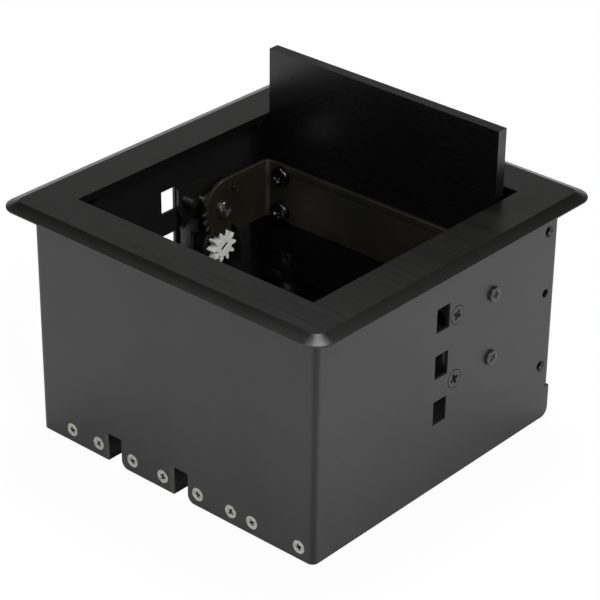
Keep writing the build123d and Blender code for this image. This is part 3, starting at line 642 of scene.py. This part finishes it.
def loft(name: str, *skins: Sequence[Ring], sharp: float = 40.0) -> bpy.types.Mesh:
    """Make a mesh of closed skins, each over rings with the same number of points.

    Args:
        name: The mesh's name.
        skins: The rings of each skin, from one end to the other.
        sharp: The smallest fold that stays sharp, in degrees.

    Returns:
        The mesh.
    """
    shape = bmesh.new()
    for rings in skins:
        made = [[shape.verts.new(point) for point in ring] for ring in rings]
        count = len(rings[0])
        for near, far in zip(made, made[1:]):
            for i in range(count):
                j = (i + 1) % count
                shape.faces.new((near[i], near[j], far[j], far[i]))
        shape.faces.new(list(reversed(made[0])))
        shape.faces.new(made[-1])
    bmesh.ops.recalc_face_normals(shape, faces=shape.faces)
    mesh = bpy.data.meshes.new(name)
    shape.to_mesh(mesh)
    shape.free()
    mesh.shade_smooth()
    mesh.set_sharp_from_angle(angle=math.radians(sharp))
    return mesh


def turned_ring(radius: float, height: float, count: int) -> Ring:
    """Return that count of points on a level circle about Z."""
    steps = (2 * math.pi * i / count for i in range(count))
    return [Vector((radius * math.cos(a), radius * math.sin(a), height)) for a in steps]


def smooth_step(value: float, low: float, high: float) -> float:
    """Return a smooth ramp of the value, 0 at low and 1 at high."""
    t = min(1.0, max(0.0, (value - low) / (high - low)))
    return t * t * (3 - 2 * t)


def solids(node: str) -> list[tuple[Vector, Vector]]:
    """Find the separate solids of a node.

    Args:
        node: The node's name.

    Returns:
        The lowest and highest corner of each.
    """
    shape = bmesh.new()
    shape.from_mesh(frame["nodes"][node].data)
    bmesh.ops.remove_doubles(shape, verts=shape.verts, dist=WELD_DISTANCE)
    seen: set[bmesh.types.BMVert] = set()
    boxes = []
    for start in shape.verts:
        if start in seen:
            continue
        seen.add(start)
        queue, points = [start], []
        while queue:
            vert = queue.pop()
            points.append(vert.co.copy())
            near = {edge.other_vert(vert) for edge in vert.link_edges} - seen
            seen |= near
            queue.extend(near)
        low, high = (Vector(pick(p[i] for p in points) for i in range(3)) for pick in (min, max))
        boxes.append((low, high))
    shape.free()
    return boxes


def add_object(name: str, data: bpy.types.ID) -> bpy.types.Object:
    """Put a new object in the scene.

    Args:
        name: The object's name.
        data: Its mesh, camera or light.

    Returns:
        The object.
    """
    made = bpy.data.objects.new(name, data)
    bpy.context.scene.collection.objects.link(made)
    return made


def add_piece(
    name: str,
    mesh: bpy.types.Mesh,
    look: Look,
    carrier: str,
    matrix: Matrix | None = None,
) -> bpy.types.Object:
    """Add a piece that moves with the body of the node that carries it.

    Args:
        name: The piece's name.
        mesh: Its mesh.
        look: Its finish.
        carrier: The node that carries it.
        matrix: Its place, where its mesh isn't already there.

    Returns:
        The piece.
    """
    if not mesh.materials:
        mesh.materials.append(look.material)
    piece = add_object(name, mesh)
    piece.matrix_world = matrix or Matrix.Identity(4)
    bodies = frame["record"]["behaviour"]["bodies"]
    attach(piece, next(body for body, nodes in bodies.items() if carrier in nodes))
    LOG.info("made %s in %s", name, look.name.lower())
    return piece


def stand_for(
    node: str, suffix: str, mesh: bpy.types.Mesh, look: Look, matrix: Matrix | None = None
) -> None:
    """Put a piece in place of a node, with a suffix on the node's name for its own."""
    piece = add_piece(f"{node}_{suffix}", mesh, look, node, matrix)
    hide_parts(node)


def dress(
    node: str,
    look: Look,
    width: float = 0.0,
    segments: int = 2,
    angle: float = 28.0,
    edge: Look | None = None,
) -> None:
    """Give a node its finish, and round its sharp edges without touching its mesh.

    Args:
        node: The node's name.
        look: Its finish.
        width: The width of the rounding, or 0 for none.
        segments: How many faces the rounding has.
        angle: The smallest fold that is rounded, in degrees.
        edge: The rounding's own finish, if it has one.
    """
    piece = frame["nodes"][node]
    piece.data.materials.clear()
    piece.data.materials.append(look.material)
    LOG.info("dressed %s in %s", node, look.name.lower())
    if not width:
        return
    weld = piece.modifiers.new("weld", "WELD")
    weld.merge_threshold = WELD_DISTANCE
    bevel = piece.modifiers.new("edge", "BEVEL")
    bevel.width = width
    bevel.segments = segments
    bevel.limit_method = "ANGLE"
    bevel.angle_limit = math.radians(angle)
    bevel.use_clamp_overlap = True
    bevel.miter_outer = "MITER_ARC"
    if edge is not None:
        piece.data.materials.append(edge.material)
        bevel.material = 1
    normals = piece.modifiers.new("normals", "WEIGHTED_NORMAL")
    normals.keep_sharp = True


# --- screws ---
class Head(Enum):
    """The shapes of screw head."""

    FLUSH = "flush"
    PAN = "pan"


@dataclass(frozen=True)
class CrossScrew:
    """One screw with a cross recess, its outward end along Z and its seat at the origin."""

    name: str
    head: Head
    look: Look
    width: float
    shank: float
    length: float
    pitch: float
    height: float = 0.0
    crown: float = 0.12
    rim: float = 0.12 * MM
    seam: float = 0.12 * MM
    core_ratio: float = 0.82
    recess_span: float = 0.56
    recess_arm: float = 0.15
    recess_depth: float = 0.28
    recess_wall: float = 0.09 * MM
    recess_rise: float = 0.55
    recess_margin: float = 0.05
    centre_reach: Ramp = (1.5, 2.6)
    centre_depth: float = 0.95
    seam_drop: float = 1.1
    tip_turns: float = 0.8
    sharp: float = 50.0
    first_ring: float = 0.3
    face_rings: int = 14
    rim_rings: int = 4
    round_count: int = 64
    thread_count: int = 20
    steps_per_turn: int = 5

    def recess(self, x: float, y: float) -> float:
        """How deep the recess is at a point of the head.

        Args:
            x: The point's distance from the axis along X.
            y: Its distance along Y.

        Returns:
            The depth in metres.
        """
        span = self.width * self.recess_span / 2
        arm = self.width * self.recess_arm / 2
        reach, offset = max(abs(x), abs(y)), min(abs(x), abs(y))
        inner, outer = self.centre_reach
        along = 1 - smooth_step(reach, span - 2 * self.recess_wall, span)
        across = 1 - smooth_step(offset, arm, arm + self.recess_wall)
        middle = 1 - smooth_step(math.hypot(x, y), arm * inner, arm * outer)
        floor = 1 - self.recess_rise * smooth_step(reach, arm, span)
        depth = max(along * across * floor, middle * self.centre_depth)
        return self.width * self.recess_depth * depth

    def top(self, radius: float) -> float:
        """Return how high the bare head is at a radius, in metres."""
        reach = min(1.0, radius / (self.width / 2))
        return self.height * (1 - self.crown * reach ** 2)

    def head_rings(self) -> list[Ring]:
        """Lay out the head.

        Returns:
            Its rings, from the middle of its face to the end of its cone.
        """
        outer = self.width / 2 - (self.seam if self.head is Head.FLUSH else 0.0)
        inner = outer * (self.recess_span + self.recess_margin)
        count, land = self.face_rings, outer - self.rim - inner
        radii = [inner * (i + self.first_ring) / count for i in range(count + 1)]
        radii += [inner + land * (i + 1) / self.rim_rings for i in range(self.rim_rings)]
        rings = []
        for radius in radii:
            ring = turned_ring(radius, self.top(radius), self.round_count)
            for point in ring:
                point.z -= self.recess(point.x, point.y)
            rings.append(ring)
        edge = self.top(outer - self.rim) - self.rim
        steps = []
        for step in range(1, self.rim_rings + 1):
            angle = math.pi / 2 * step / self.rim_rings
            radius = outer - self.rim * (1 - math.sin(angle))
            steps.append((radius, edge + self.rim * math.cos(angle)))
        if self.head is Head.FLUSH:
            core = self.shank * self.core_ratio / 2
            steps += [(outer, -self.seam * self.seam_drop), (core, core - self.width / 2)]
        else:
            steps.append((outer, 0.0))
        return rings + [turned_ring(radius, height, self.round_count) for radius, height in steps]

    def thread_rings(self) -> list[Ring]:
        """Lay out the threaded shank.

        Returns:
            Its rings, from inside the head to its tip.
        """
        crest, core = self.shank / 2, self.shank * self.core_ratio / 2
        start = 0.0 if self.head is Head.PAN else self.width / 2 - crest
        steps = round((self.length - start) / self.pitch * self.steps_per_turn)
        rings = []
        for step in range(steps + 1):
            depth = start + (self.length - start) * step / steps
            ease = min(1.0, (self.length - depth) / (self.tip_turns * self.pitch))
            ring = turned_ring(1.0, -depth, self.thread_count)
            for i, point in enumerate(ring):
                turn = depth / self.pitch + i / self.thread_count
                ridge = abs(2 * (turn % 1.0) - 1)
                radius = core + (crest - core) * ridge * ease
                point.x *= radius
                point.y *= radius
            rings.append(ring)
        return rings

    def mesh(self) -> bpy.types.Mesh:
        """Make the screw's mesh, which all screws of its size share.

        Returns:
            The mesh.
        """
        made = bpy.data.meshes.get(self.name)
        if made is None:
            made = loft(self.name, self.head_rings(), self.thread_rings(), sharp=self.sharp)
        return made


@dataclass(frozen=True)
class ScrewRow:
    """The screws of one node, all facing one way, each turned by its own angle in degrees."""

    node: str
    screw: CrossScrew
    outward: Point
    turns: Sequence[float] = (14, 52, 31, 77, 8, 63, 40, 22)

    def build(self) -> None:
        """Make the screws."""
        outward = Vector(self.outward)
        facing = outward.to_track_quat("Z", "Y").to_matrix().to_4x4()
        for index, (low, high) in enumerate(solids(self.node)):
            middle = (low + high) / 2
            reach = max(high.dot(outward), low.dot(outward)) - self.screw.height
            seat = middle + outward * (reach - middle.dot(outward))
            turned = Matrix.Rotation(math.radians(self.turns[index]), 4, "Z")
            place = Matrix.Translation(seat) @ facing @ turned
            stand_for(self.node, str(index + 1), self.screw.mesh(), self.screw.look, place)


M3_FLUSH = CrossScrew(
    "m3_flush_screw", Head.FLUSH, Look.NICKEL, width=5.5 * MM, shank=3 * MM, length=5 * MM,
    pitch=0.5 * MM, recess_span=0.5, recess_arm=0.115,
)
M3_SHORT = CrossScrew(
    "m3_short_screw", Head.FLUSH, Look.BLACK_FLUSH, width=5.5 * MM, shank=3 * MM, length=4 * MM,
    pitch=0.5 * MM,
)
M4_FLUSH = CrossScrew(
    "m4_flush_screw", Head.FLUSH, Look.BLACK_FLUSH, width=7.5 * MM, shank=4 * MM, length=8 * MM,
    pitch=0.7 * MM, seam=0.32 * MM, recess_arm=0.12,
)
M3_PAN = CrossScrew(
    "m3_pan_screw", Head.PAN, Look.BLACK_RAISED, width=6 * MM, shank=3 * MM, length=8 * MM,
    pitch=0.5 * MM, height=1.3 * MM, rim=0.45 * MM, recess_depth=0.14,
)
M4_PAN = CrossScrew(
    "m4_pan_screw", Head.PAN, Look.BLACK_BRIGHT, width=8 * MM, shank=4 * MM, length=5 * MM,
    pitch=0.7 * MM, height=2.6 * MM, rim=0.7 * MM, recess_depth=0.2,
)


# --- sub-assemblies ---
@dataclass(frozen=True)
class Case:
    """The folded case: three-sided shell, rear plate, base pan and their screws."""

    edge: float = 0.22 * MM
    front: float = -67.5 * MM
    sheets: float = 2.7 * MM
    notches: Sequence[float] = (-29.0 * MM, 4.4 * MM)
    notch_half: float = 3.4 * MM
    flare: float = 3.0 * MM
    corner_points: int = 12

    def notch_corners(self) -> None:
        """Square up the lower left corner of each cable notch with a piece let in."""
        for number, place in enumerate(self.notches, 1):
            right = place - self.notch_half
            left = right - self.flare
            outline = [(right, 0.0), (right, self.flare)]
            for step in range(1, self.corner_points + 1):
                turn = -math.pi / 2 * step / self.corner_points
                across, up = self.flare * math.cos(turn), self.flare * math.sin(turn)
                outline.append((left + across, self.flare + up))
            ends = (self.front, self.front + self.sheets)
            rings = [[Vector((x, y, z)) for x, z in outline] for y in ends]
            name = f"notch_corner_{number}"
            add_piece(name, loft(name, rings), Look.POWDER_COAT, "housing_shell")

    def dress(self) -> None:
        """Finish the sheets."""
        for node in ("housing_shell", "rear_panel", "base_pan"):
            dress(node, Look.POWDER_COAT, self.edge)

    def build(self) -> None:
        """Make the screws, then finish the rest."""
        ScrewRow("front_pan_screws", M3_FLUSH, (0, -1, 0)).build()
        ScrewRow("rear_pan_screws", M3_FLUSH, (0, 1, 0)).build()
        ScrewRow("rear_panel_screws", M3_FLUSH, (0, 1, 0)).build()
        self.notch_corners()
        self.dress()


@dataclass(frozen=True)
class Bezel:
    """The bevelled frame that hangs the case in the table, and its nuts."""

    edge: float = 0.4 * MM
    segments: int = 3
    shallowest: float = 18.0
    nut_edge: float = 0.15 * MM

    def dress(self) -> None:
        """Finish the frame and its nuts."""
        dress("bezel_frame", Look.ANODISED_FRAME, self.edge, self.segments, self.shallowest)
        dress("bezel_nuts", Look.BLACK_NUT, self.nut_edge)


@dataclass(frozen=True)
class Lid:
    """The brushed lid, its bracket, stop tabs, bushes and screws."""

    edge: float = 0.3 * MM
    segments: int = 3
    sheet_edge: float = 0.25 * MM

    def dress(self) -> None:
        """Finish the plates and the bushes."""
        dress("lid_panel", Look.ANODISED_LID, self.edge, self.segments)
        dress("lid_bracket", Look.PLATED_STEEL, self.sheet_edge, edge=Look.SHEARED_EDGE)
        dress("lid_stop_tabs", Look.BLACK_STEEL, self.sheet_edge)
        for side in Side:
            dress(side.node("pivot_bush"), Look.BUSH_MOULDING)

    def build(self) -> None:
        """Make the screws, then finish the rest."""
        ScrewRow("lid_bracket_screws", M4_PAN, (0, -1, 0), (30, 12, 55, 70)).build()
        ScrewRow("lid_stop_screws", M3_SHORT, (0, -1, 0)).build()
        self.dress()


@dataclass(frozen=True)
class TorsionSpring:
    """The spring round one pivot: a leg to the plate's tab, the coil and a hooked leg.

    The coil stays with the case. The hooked leg turns with the lid, and winds out of the coil's
    last quarter turn as it does.
    """

    side: Side
    wire: float = 1.2 * MM
    radius: float = 5.0 * MM
    turns: float = 3.25
    pitch: float = 1.4 * MM
    start_x: float = 61.914 * MM
    hook_x: float = 52.6 * MM
    pivot: tuple[float, float] = (18.0 * MM, 63.9 * MM)
    tab_leg: float = 15.4 * MM
    rise: float = 8.0 * MM
    steps_per_turn: int = 36
    section_count: int = 12
    inner_share: float = 0.93
    bend_ratio: float = 1.05
    bend_steps: int = 8

    def line(self) -> list[Vector]:
        """Lay out the wire's own line.

        Returns:
            Its points, from the leg on the tab to the hook's end.
        """
        climb = self.pitch / (2 * math.pi)
        steps = round(self.turns * self.steps_per_turn)
        points = []
        for step in range(steps + 1):
            angle = -math.pi / 2 + 2 * math.pi * self.turns * step / steps
            depth = climb * (angle + math.pi / 2)
            across, up = self.radius * math.cos(angle), self.radius * math.sin(angle)
            points.append(Vector((depth, across, up)))
        run = math.hypot(self.radius, climb)
        first = Vector((climb, self.radius, 0)) / run
        last = Vector((climb, 0, self.radius)) / run
        corner = points[-1] + last * self.rise
        hook = Vector((self.start_x - self.hook_x, corner.y, corner.z))
        bend = self.wire * self.bend_ratio
        centre = corner + Vector((bend, 0, -bend))
        turn = []
        for step in range(self.bend_steps + 1):
            angle = math.pi / 2 * step / self.bend_steps
            turn.append(centre + Vector((-math.cos(angle), 0, math.sin(angle))) * bend)
        line = [points[0] - first * self.tab_leg, *points, *turn, hook]
        side = self.side.value
        return [
            Vector((side * (self.start_x - p.x), self.pivot[0] + p.y, self.pivot[1] + p.z))
            for p in line
        ]

    def drawn(self, name: str, line: Sequence[Vector], inner: int = 0) -> bpy.types.Mesh:
        """Draw the wire along a line.

        Args:
            name: The mesh's name.
            line: The wire's own line.
            inner: How many of the first points lie inside the coil, where the wire is thinner.

        Returns:
            The mesh.
        """
        upright = Vector((1.0, 0.0, 0.0))
        rings = []
        for index, point in enumerate(line):
            before, after = line[max(0, index - 1)], line[min(len(line) - 1, index + 1)]
            ahead = (after - before).normalized()
            upright = (upright - ahead * upright.dot(ahead)).normalized()
            across = ahead.cross(upright)
            radius = self.wire / 2 * (self.inner_share if index < inner else 1.0)
            ring = turned_ring(radius, 0.0, self.section_count)
            rings.append([point + across * p.x + upright * p.y for p in ring])
        return loft(name, rings)

    def build(self) -> None:
        """Make the coil with its leg on the tab, then the hooked leg."""
        line = self.line()
        end = 1 + round(self.turns * self.steps_per_turn)
        quarter = self.steps_per_turn // 4
        node = self.side.node("torsion_spring")
        wire = self.drawn(node + "_wire", line[: end + 1])
        stand_for(node, "wire", wire, Look.SPRING_STEEL)
        leg = self.drawn(node + "_leg", line[end - quarter :], quarter)
        add_piece(node + "_leg", leg, Look.SPRING_STEEL, "lid_bracket")


@dataclass(frozen=True)
class PivotPin:
    """One turned pin, with a flat head inside the arm and a staked end at the wall."""

    side: Side
    shank: float = 5.0 * MM
    head: float = 7.0 * MM
    head_height: float = 0.7 * MM
    edge: float = 0.18 * MM
    edge_share: float = 0.3
    chamfer: float = 0.2 * MM
    centre: float = 0.05 * MM
    dimple: float = 0.9 * MM
    dimple_depth: float = 0.22 * MM
    groove: float = 0.08 * MM
    groove_pitch: float = 0.33 * MM
    count: int = 72
    sharp: float = 24.0

    def profile(self, length: float) -> list[tuple[float, float]]:
        """Lay out the pin's outline from its head's middle to its far end.

        Args:
            length: The pin's whole length.

        Returns:
            The (radius, height) steps.
        """
        outer, shank, inner = self.head / 2, self.shank / 2, self.dimple / 2
        eased = self.edge * self.edge_share
        steps = [(self.centre, -self.dimple_depth), (inner, 0.0)]
        for index in range(int((outer - self.edge - inner) / self.groove_pitch)):
            radius = inner + self.groove_pitch * (index + 0.5)
            steps += [(radius, -self.groove), (radius + self.groove_pitch / 2, 0.0)]
        return steps + [
            (outer - self.edge, 0.0),
            (outer - eased, -eased),
            (outer, -self.edge),
            (outer, -self.head_height),
            (shank, -self.head_height),
            (shank, self.chamfer - length),
            (shank - self.chamfer, -length),
        ]

    def build(self) -> None:
        """Make the pin at its node's place."""
        node = self.side.node("pivot_pin")
        low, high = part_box(node)
        middle = (low + high) / 2
        inward = Vector((-self.side.value, 0, 0))
        face = low.x if self.side is Side.RIGHT else high.x
        profile = self.profile(high.x - low.x)
        rings = [turned_ring(radius, height, self.count) for radius, height in profile]
        place = Matrix.Translation(Vector((face, middle.y, middle.z)))
        place = place @ inward.to_track_quat("Z", "Y").to_matrix().to_4x4()
        mesh = loft(node + "_turned", rings, sharp=self.sharp)
        stand_for(node, "turned", mesh, Look.TURNED_STEEL, place)


@dataclass(frozen=True)
class Hinge:
    """One side's hinge: plate, pin, spring, stop block, damper with its gear, and screws."""

    side: Side
    sheet_edge: float = 0.2 * MM
    moulded_edge: float = 0.25 * MM
    tooth_edge: float = 0.12 * MM

    def dress(self) -> None:
        """Finish the plate and the mouldings."""
        plate = self.side.node("hinge_plate")
        dress(plate, Look.DARK_STEEL, self.sheet_edge, edge=Look.SHEARED_EDGE)
        for name, look, edge in (
            ("stop_block", Look.BLACK_MOULDING, self.moulded_edge),
            ("damper_body", Look.BLACK_MOULDING, self.moulded_edge),
            ("damper_shaft", Look.BLACK_MOULDING, self.tooth_edge),
            ("damper_gear", Look.WHITE_MOULDING, self.tooth_edge),
        ):
            dress(self.side.node(name), look, edge)

    def build(self) -> None:
        """Make the pin, the spring and the screws, then finish the rest."""
        outward = (self.side.value, 0, 0)
        ScrewRow(self.side.node("hinge_screws"), M4_FLUSH, outward, (20, 62)).build()
        ScrewRow(self.side.node("stop_screws"), M3_PAN, outward, (48, 5)).build()
        PivotPin(self.side).build()
        TorsionSpring(self.side).build()
        self.dress()


# --- studio ---
@dataclass(frozen=True)
class Camera:
    """A long lens, set by where one point of the box falls in a square frame of pixels."""

    frame_px: float = 600.0
    sensor_mm: float = 36.0
    focal_px: float = 2375.723
    axis_px: tuple[float, float] = (335.272, 315.132)
    azimuth: float = 40.281
    elevation: float = 29.468
    roll: float = 1.123
    distance: float = 0.877544
    target: Point = (0.0, 0.0, 0.0463)
    target_px: tuple[float, float] = (297.981, 313.257)
    clip: Ramp = (0.01, 50.0)

    def build(self) -> None:
        """Make the camera and set it as the scene's."""
        turn, rise, tilt = (math.radians(a) for a in (self.azimuth, self.elevation, self.roll))
        back = Vector(
            (math.sin(turn) * math.cos(rise), -math.cos(turn) * math.cos(rise), math.sin(rise))
        )
        across = Vector((0, 0, 1)).cross(back).normalized()
        upright = back.cross(across)
        right = across * math.cos(tilt) + upright * math.sin(tilt)
        up = upright * math.cos(tilt) - across * math.sin(tilt)
        sideways = (self.target_px[0] - self.axis_px[0]) / self.focal_px * self.distance
        upwards = (self.axis_px[1] - self.target_px[1]) / self.focal_px * self.distance
        place = Vector(self.target) + back * self.distance - right * sideways - up * upwards
        lens = bpy.data.cameras.new("camera")
        lens.sensor_width = self.sensor_mm
        lens.lens = self.focal_px * self.sensor_mm / self.frame_px
        lens.shift_x = (self.frame_px / 2 - self.axis_px[0]) / self.frame_px
        lens.shift_y = (self.axis_px[1] - self.frame_px / 2) / self.frame_px
        lens.clip_start, lens.clip_end = self.clip
        camera = add_object("camera", lens)
        turned = Matrix((right, up, back)).transposed().to_4x4()
        camera.matrix_world = Matrix.Translation(place) @ turned
        bpy.context.scene.camera = camera


@dataclass(frozen=True)
class Lamp:
    """One square soft lamp, aimed at the middle of the box."""

    name: str
    place: Point
    width: float
    power: float

    def build(self, aim: Vector) -> None:
        """Make the lamp.

        Args:
            aim: The point it faces.
        """
        light = bpy.data.lights.new(self.name, "AREA")
        light.energy = self.power
        light.size = self.width
        lamp = add_object(self.name, light)
        lamp.location = self.place
        lamp.rotation_mode = "QUATERNION"
        lamp.rotation_quaternion = (aim - Vector(self.place)).to_track_quat("-Z", "Y")


@dataclass(frozen=True)
class Studio:
    """A pale floor, a soft surround that is white at the horizon, and soft lamps."""

    floor_size: float = 12.0
    floor_white: float = 0.74
    floor_show: float = 0.95
    floor_mirrored: float = 0.06
    surround: float = 0.55
    overhead: float = 0.06
    dimming: Ramp = (0.06, 0.46)
    lamps: Sequence[Lamp] = (
        Lamp("overhead", (-0.15, 0.265, 1.13), width=0.36, power=6.6),
        Lamp("key", (1.25, -0.3, 1.2), width=0.9, power=17.0),
        Lamp("fill", (0.0, -1.2, 1.0), width=0.9, power=4.0),
    )

    def floor(self) -> None:
        """Make the floor, which shows white itself and keeps the shadow."""
        mesh = bpy.data.meshes.new("floor")
        half = self.floor_size / 2
        corners = [(-half, -half, 0), (half, -half, 0), (half, half, 0), (-half, half, 0)]
        mesh.from_pydata(corners, [], [(0, 1, 2, 3)])
        piece = add_object("floor", mesh)
        piece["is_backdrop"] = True
        graph = Graph.named("floor")
        camera, mirrored = self.seen(graph)
        plain = graph.add("ShaderNodeBsdfDiffuse", None, {"Color": (*[self.floor_white] * 3, 1.0)})
        white = graph.add("ShaderNodeEmission", None, {"Color": WHITE, "Strength": 1.0})
        share = camera * self.floor_show + mirrored * self.floor_mirrored
        inputs = {0: share, 1: plain.outputs[0], 2: white.outputs[0]}
        mix = graph.add("ShaderNodeMixShader", None, inputs)
        graph.add("ShaderNodeOutputMaterial", None, {"Surface": mix.outputs[0]})
        mesh.materials.append(graph.owner)

    @staticmethod
    def seen(graph: Graph) -> tuple[Value, Value]:
        """Whether a ray comes straight to the eye or glass, or by way of a mirror.

        Args:
            graph: The graph to add the nodes to.

        Returns:
            1 for each kind of ray, else 0.
        """
        path = graph.add("ShaderNodeLightPath")
        camera = Value(graph, path.outputs["Is Camera Ray"])
        glossy = Value(graph, path.outputs["Is Glossy Ray"])
        through = Value(graph, path.outputs["Is Transmission Ray"])
        return camera.larger(through), glossy

    def world(self) -> None:
        """Make the surround: white to the eye, and dimmer overhead in a reflection."""
        bpy.context.scene.world = bpy.data.worlds.new("surround")
        graph = Graph(bpy.context.scene.world)
        seen, glossy = self.seen(graph)
        direction = graph.value("ShaderNodeTexCoord", output="Generated")
        height = graph.value("ShaderNodeSeparateXYZ", None, {0: direction}, output="Z")
        mirrored = 1.0 - height.between(*self.dimming) * (1.0 - self.overhead)
        strength = seen + (1.0 - seen) * (glossy * mirrored + (1.0 - glossy) * self.surround)
        inputs = {"Color": WHITE, "Strength": strength}
        white = graph.add("ShaderNodeBackground", None, inputs)
        graph.add("ShaderNodeOutputWorld", None, {"Surface": white.outputs[0]})

    def build(self) -> None:
        """Make the floor, the surround and the lamps."""
        bpy.context.scene.view_settings.view_transform = "Standard"
        low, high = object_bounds()
        self.floor()
        self.world()
        for lamp in self.lamps:
            lamp.build((low + high) / 2)


with open("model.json") as file:
    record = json.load(file)
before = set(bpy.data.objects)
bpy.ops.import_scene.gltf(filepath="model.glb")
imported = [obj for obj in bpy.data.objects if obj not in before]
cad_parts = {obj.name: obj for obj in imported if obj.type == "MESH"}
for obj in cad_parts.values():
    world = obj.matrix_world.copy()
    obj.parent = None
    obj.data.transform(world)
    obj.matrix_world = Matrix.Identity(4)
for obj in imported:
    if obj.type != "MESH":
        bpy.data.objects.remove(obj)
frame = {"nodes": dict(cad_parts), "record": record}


def main() -> None:
    """Build and finish each sub-assembly, then set the studio."""
    logging.basicConfig(level=logging.INFO, format="%(name)s: %(message)s")
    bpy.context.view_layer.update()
    Case().build()
    Bezel().dress()
    Lid().build()
    for side in Side:
        Hinge(side).build()
    Camera().build()
    Studio().build()


if __name__ == "__main__":
    main()
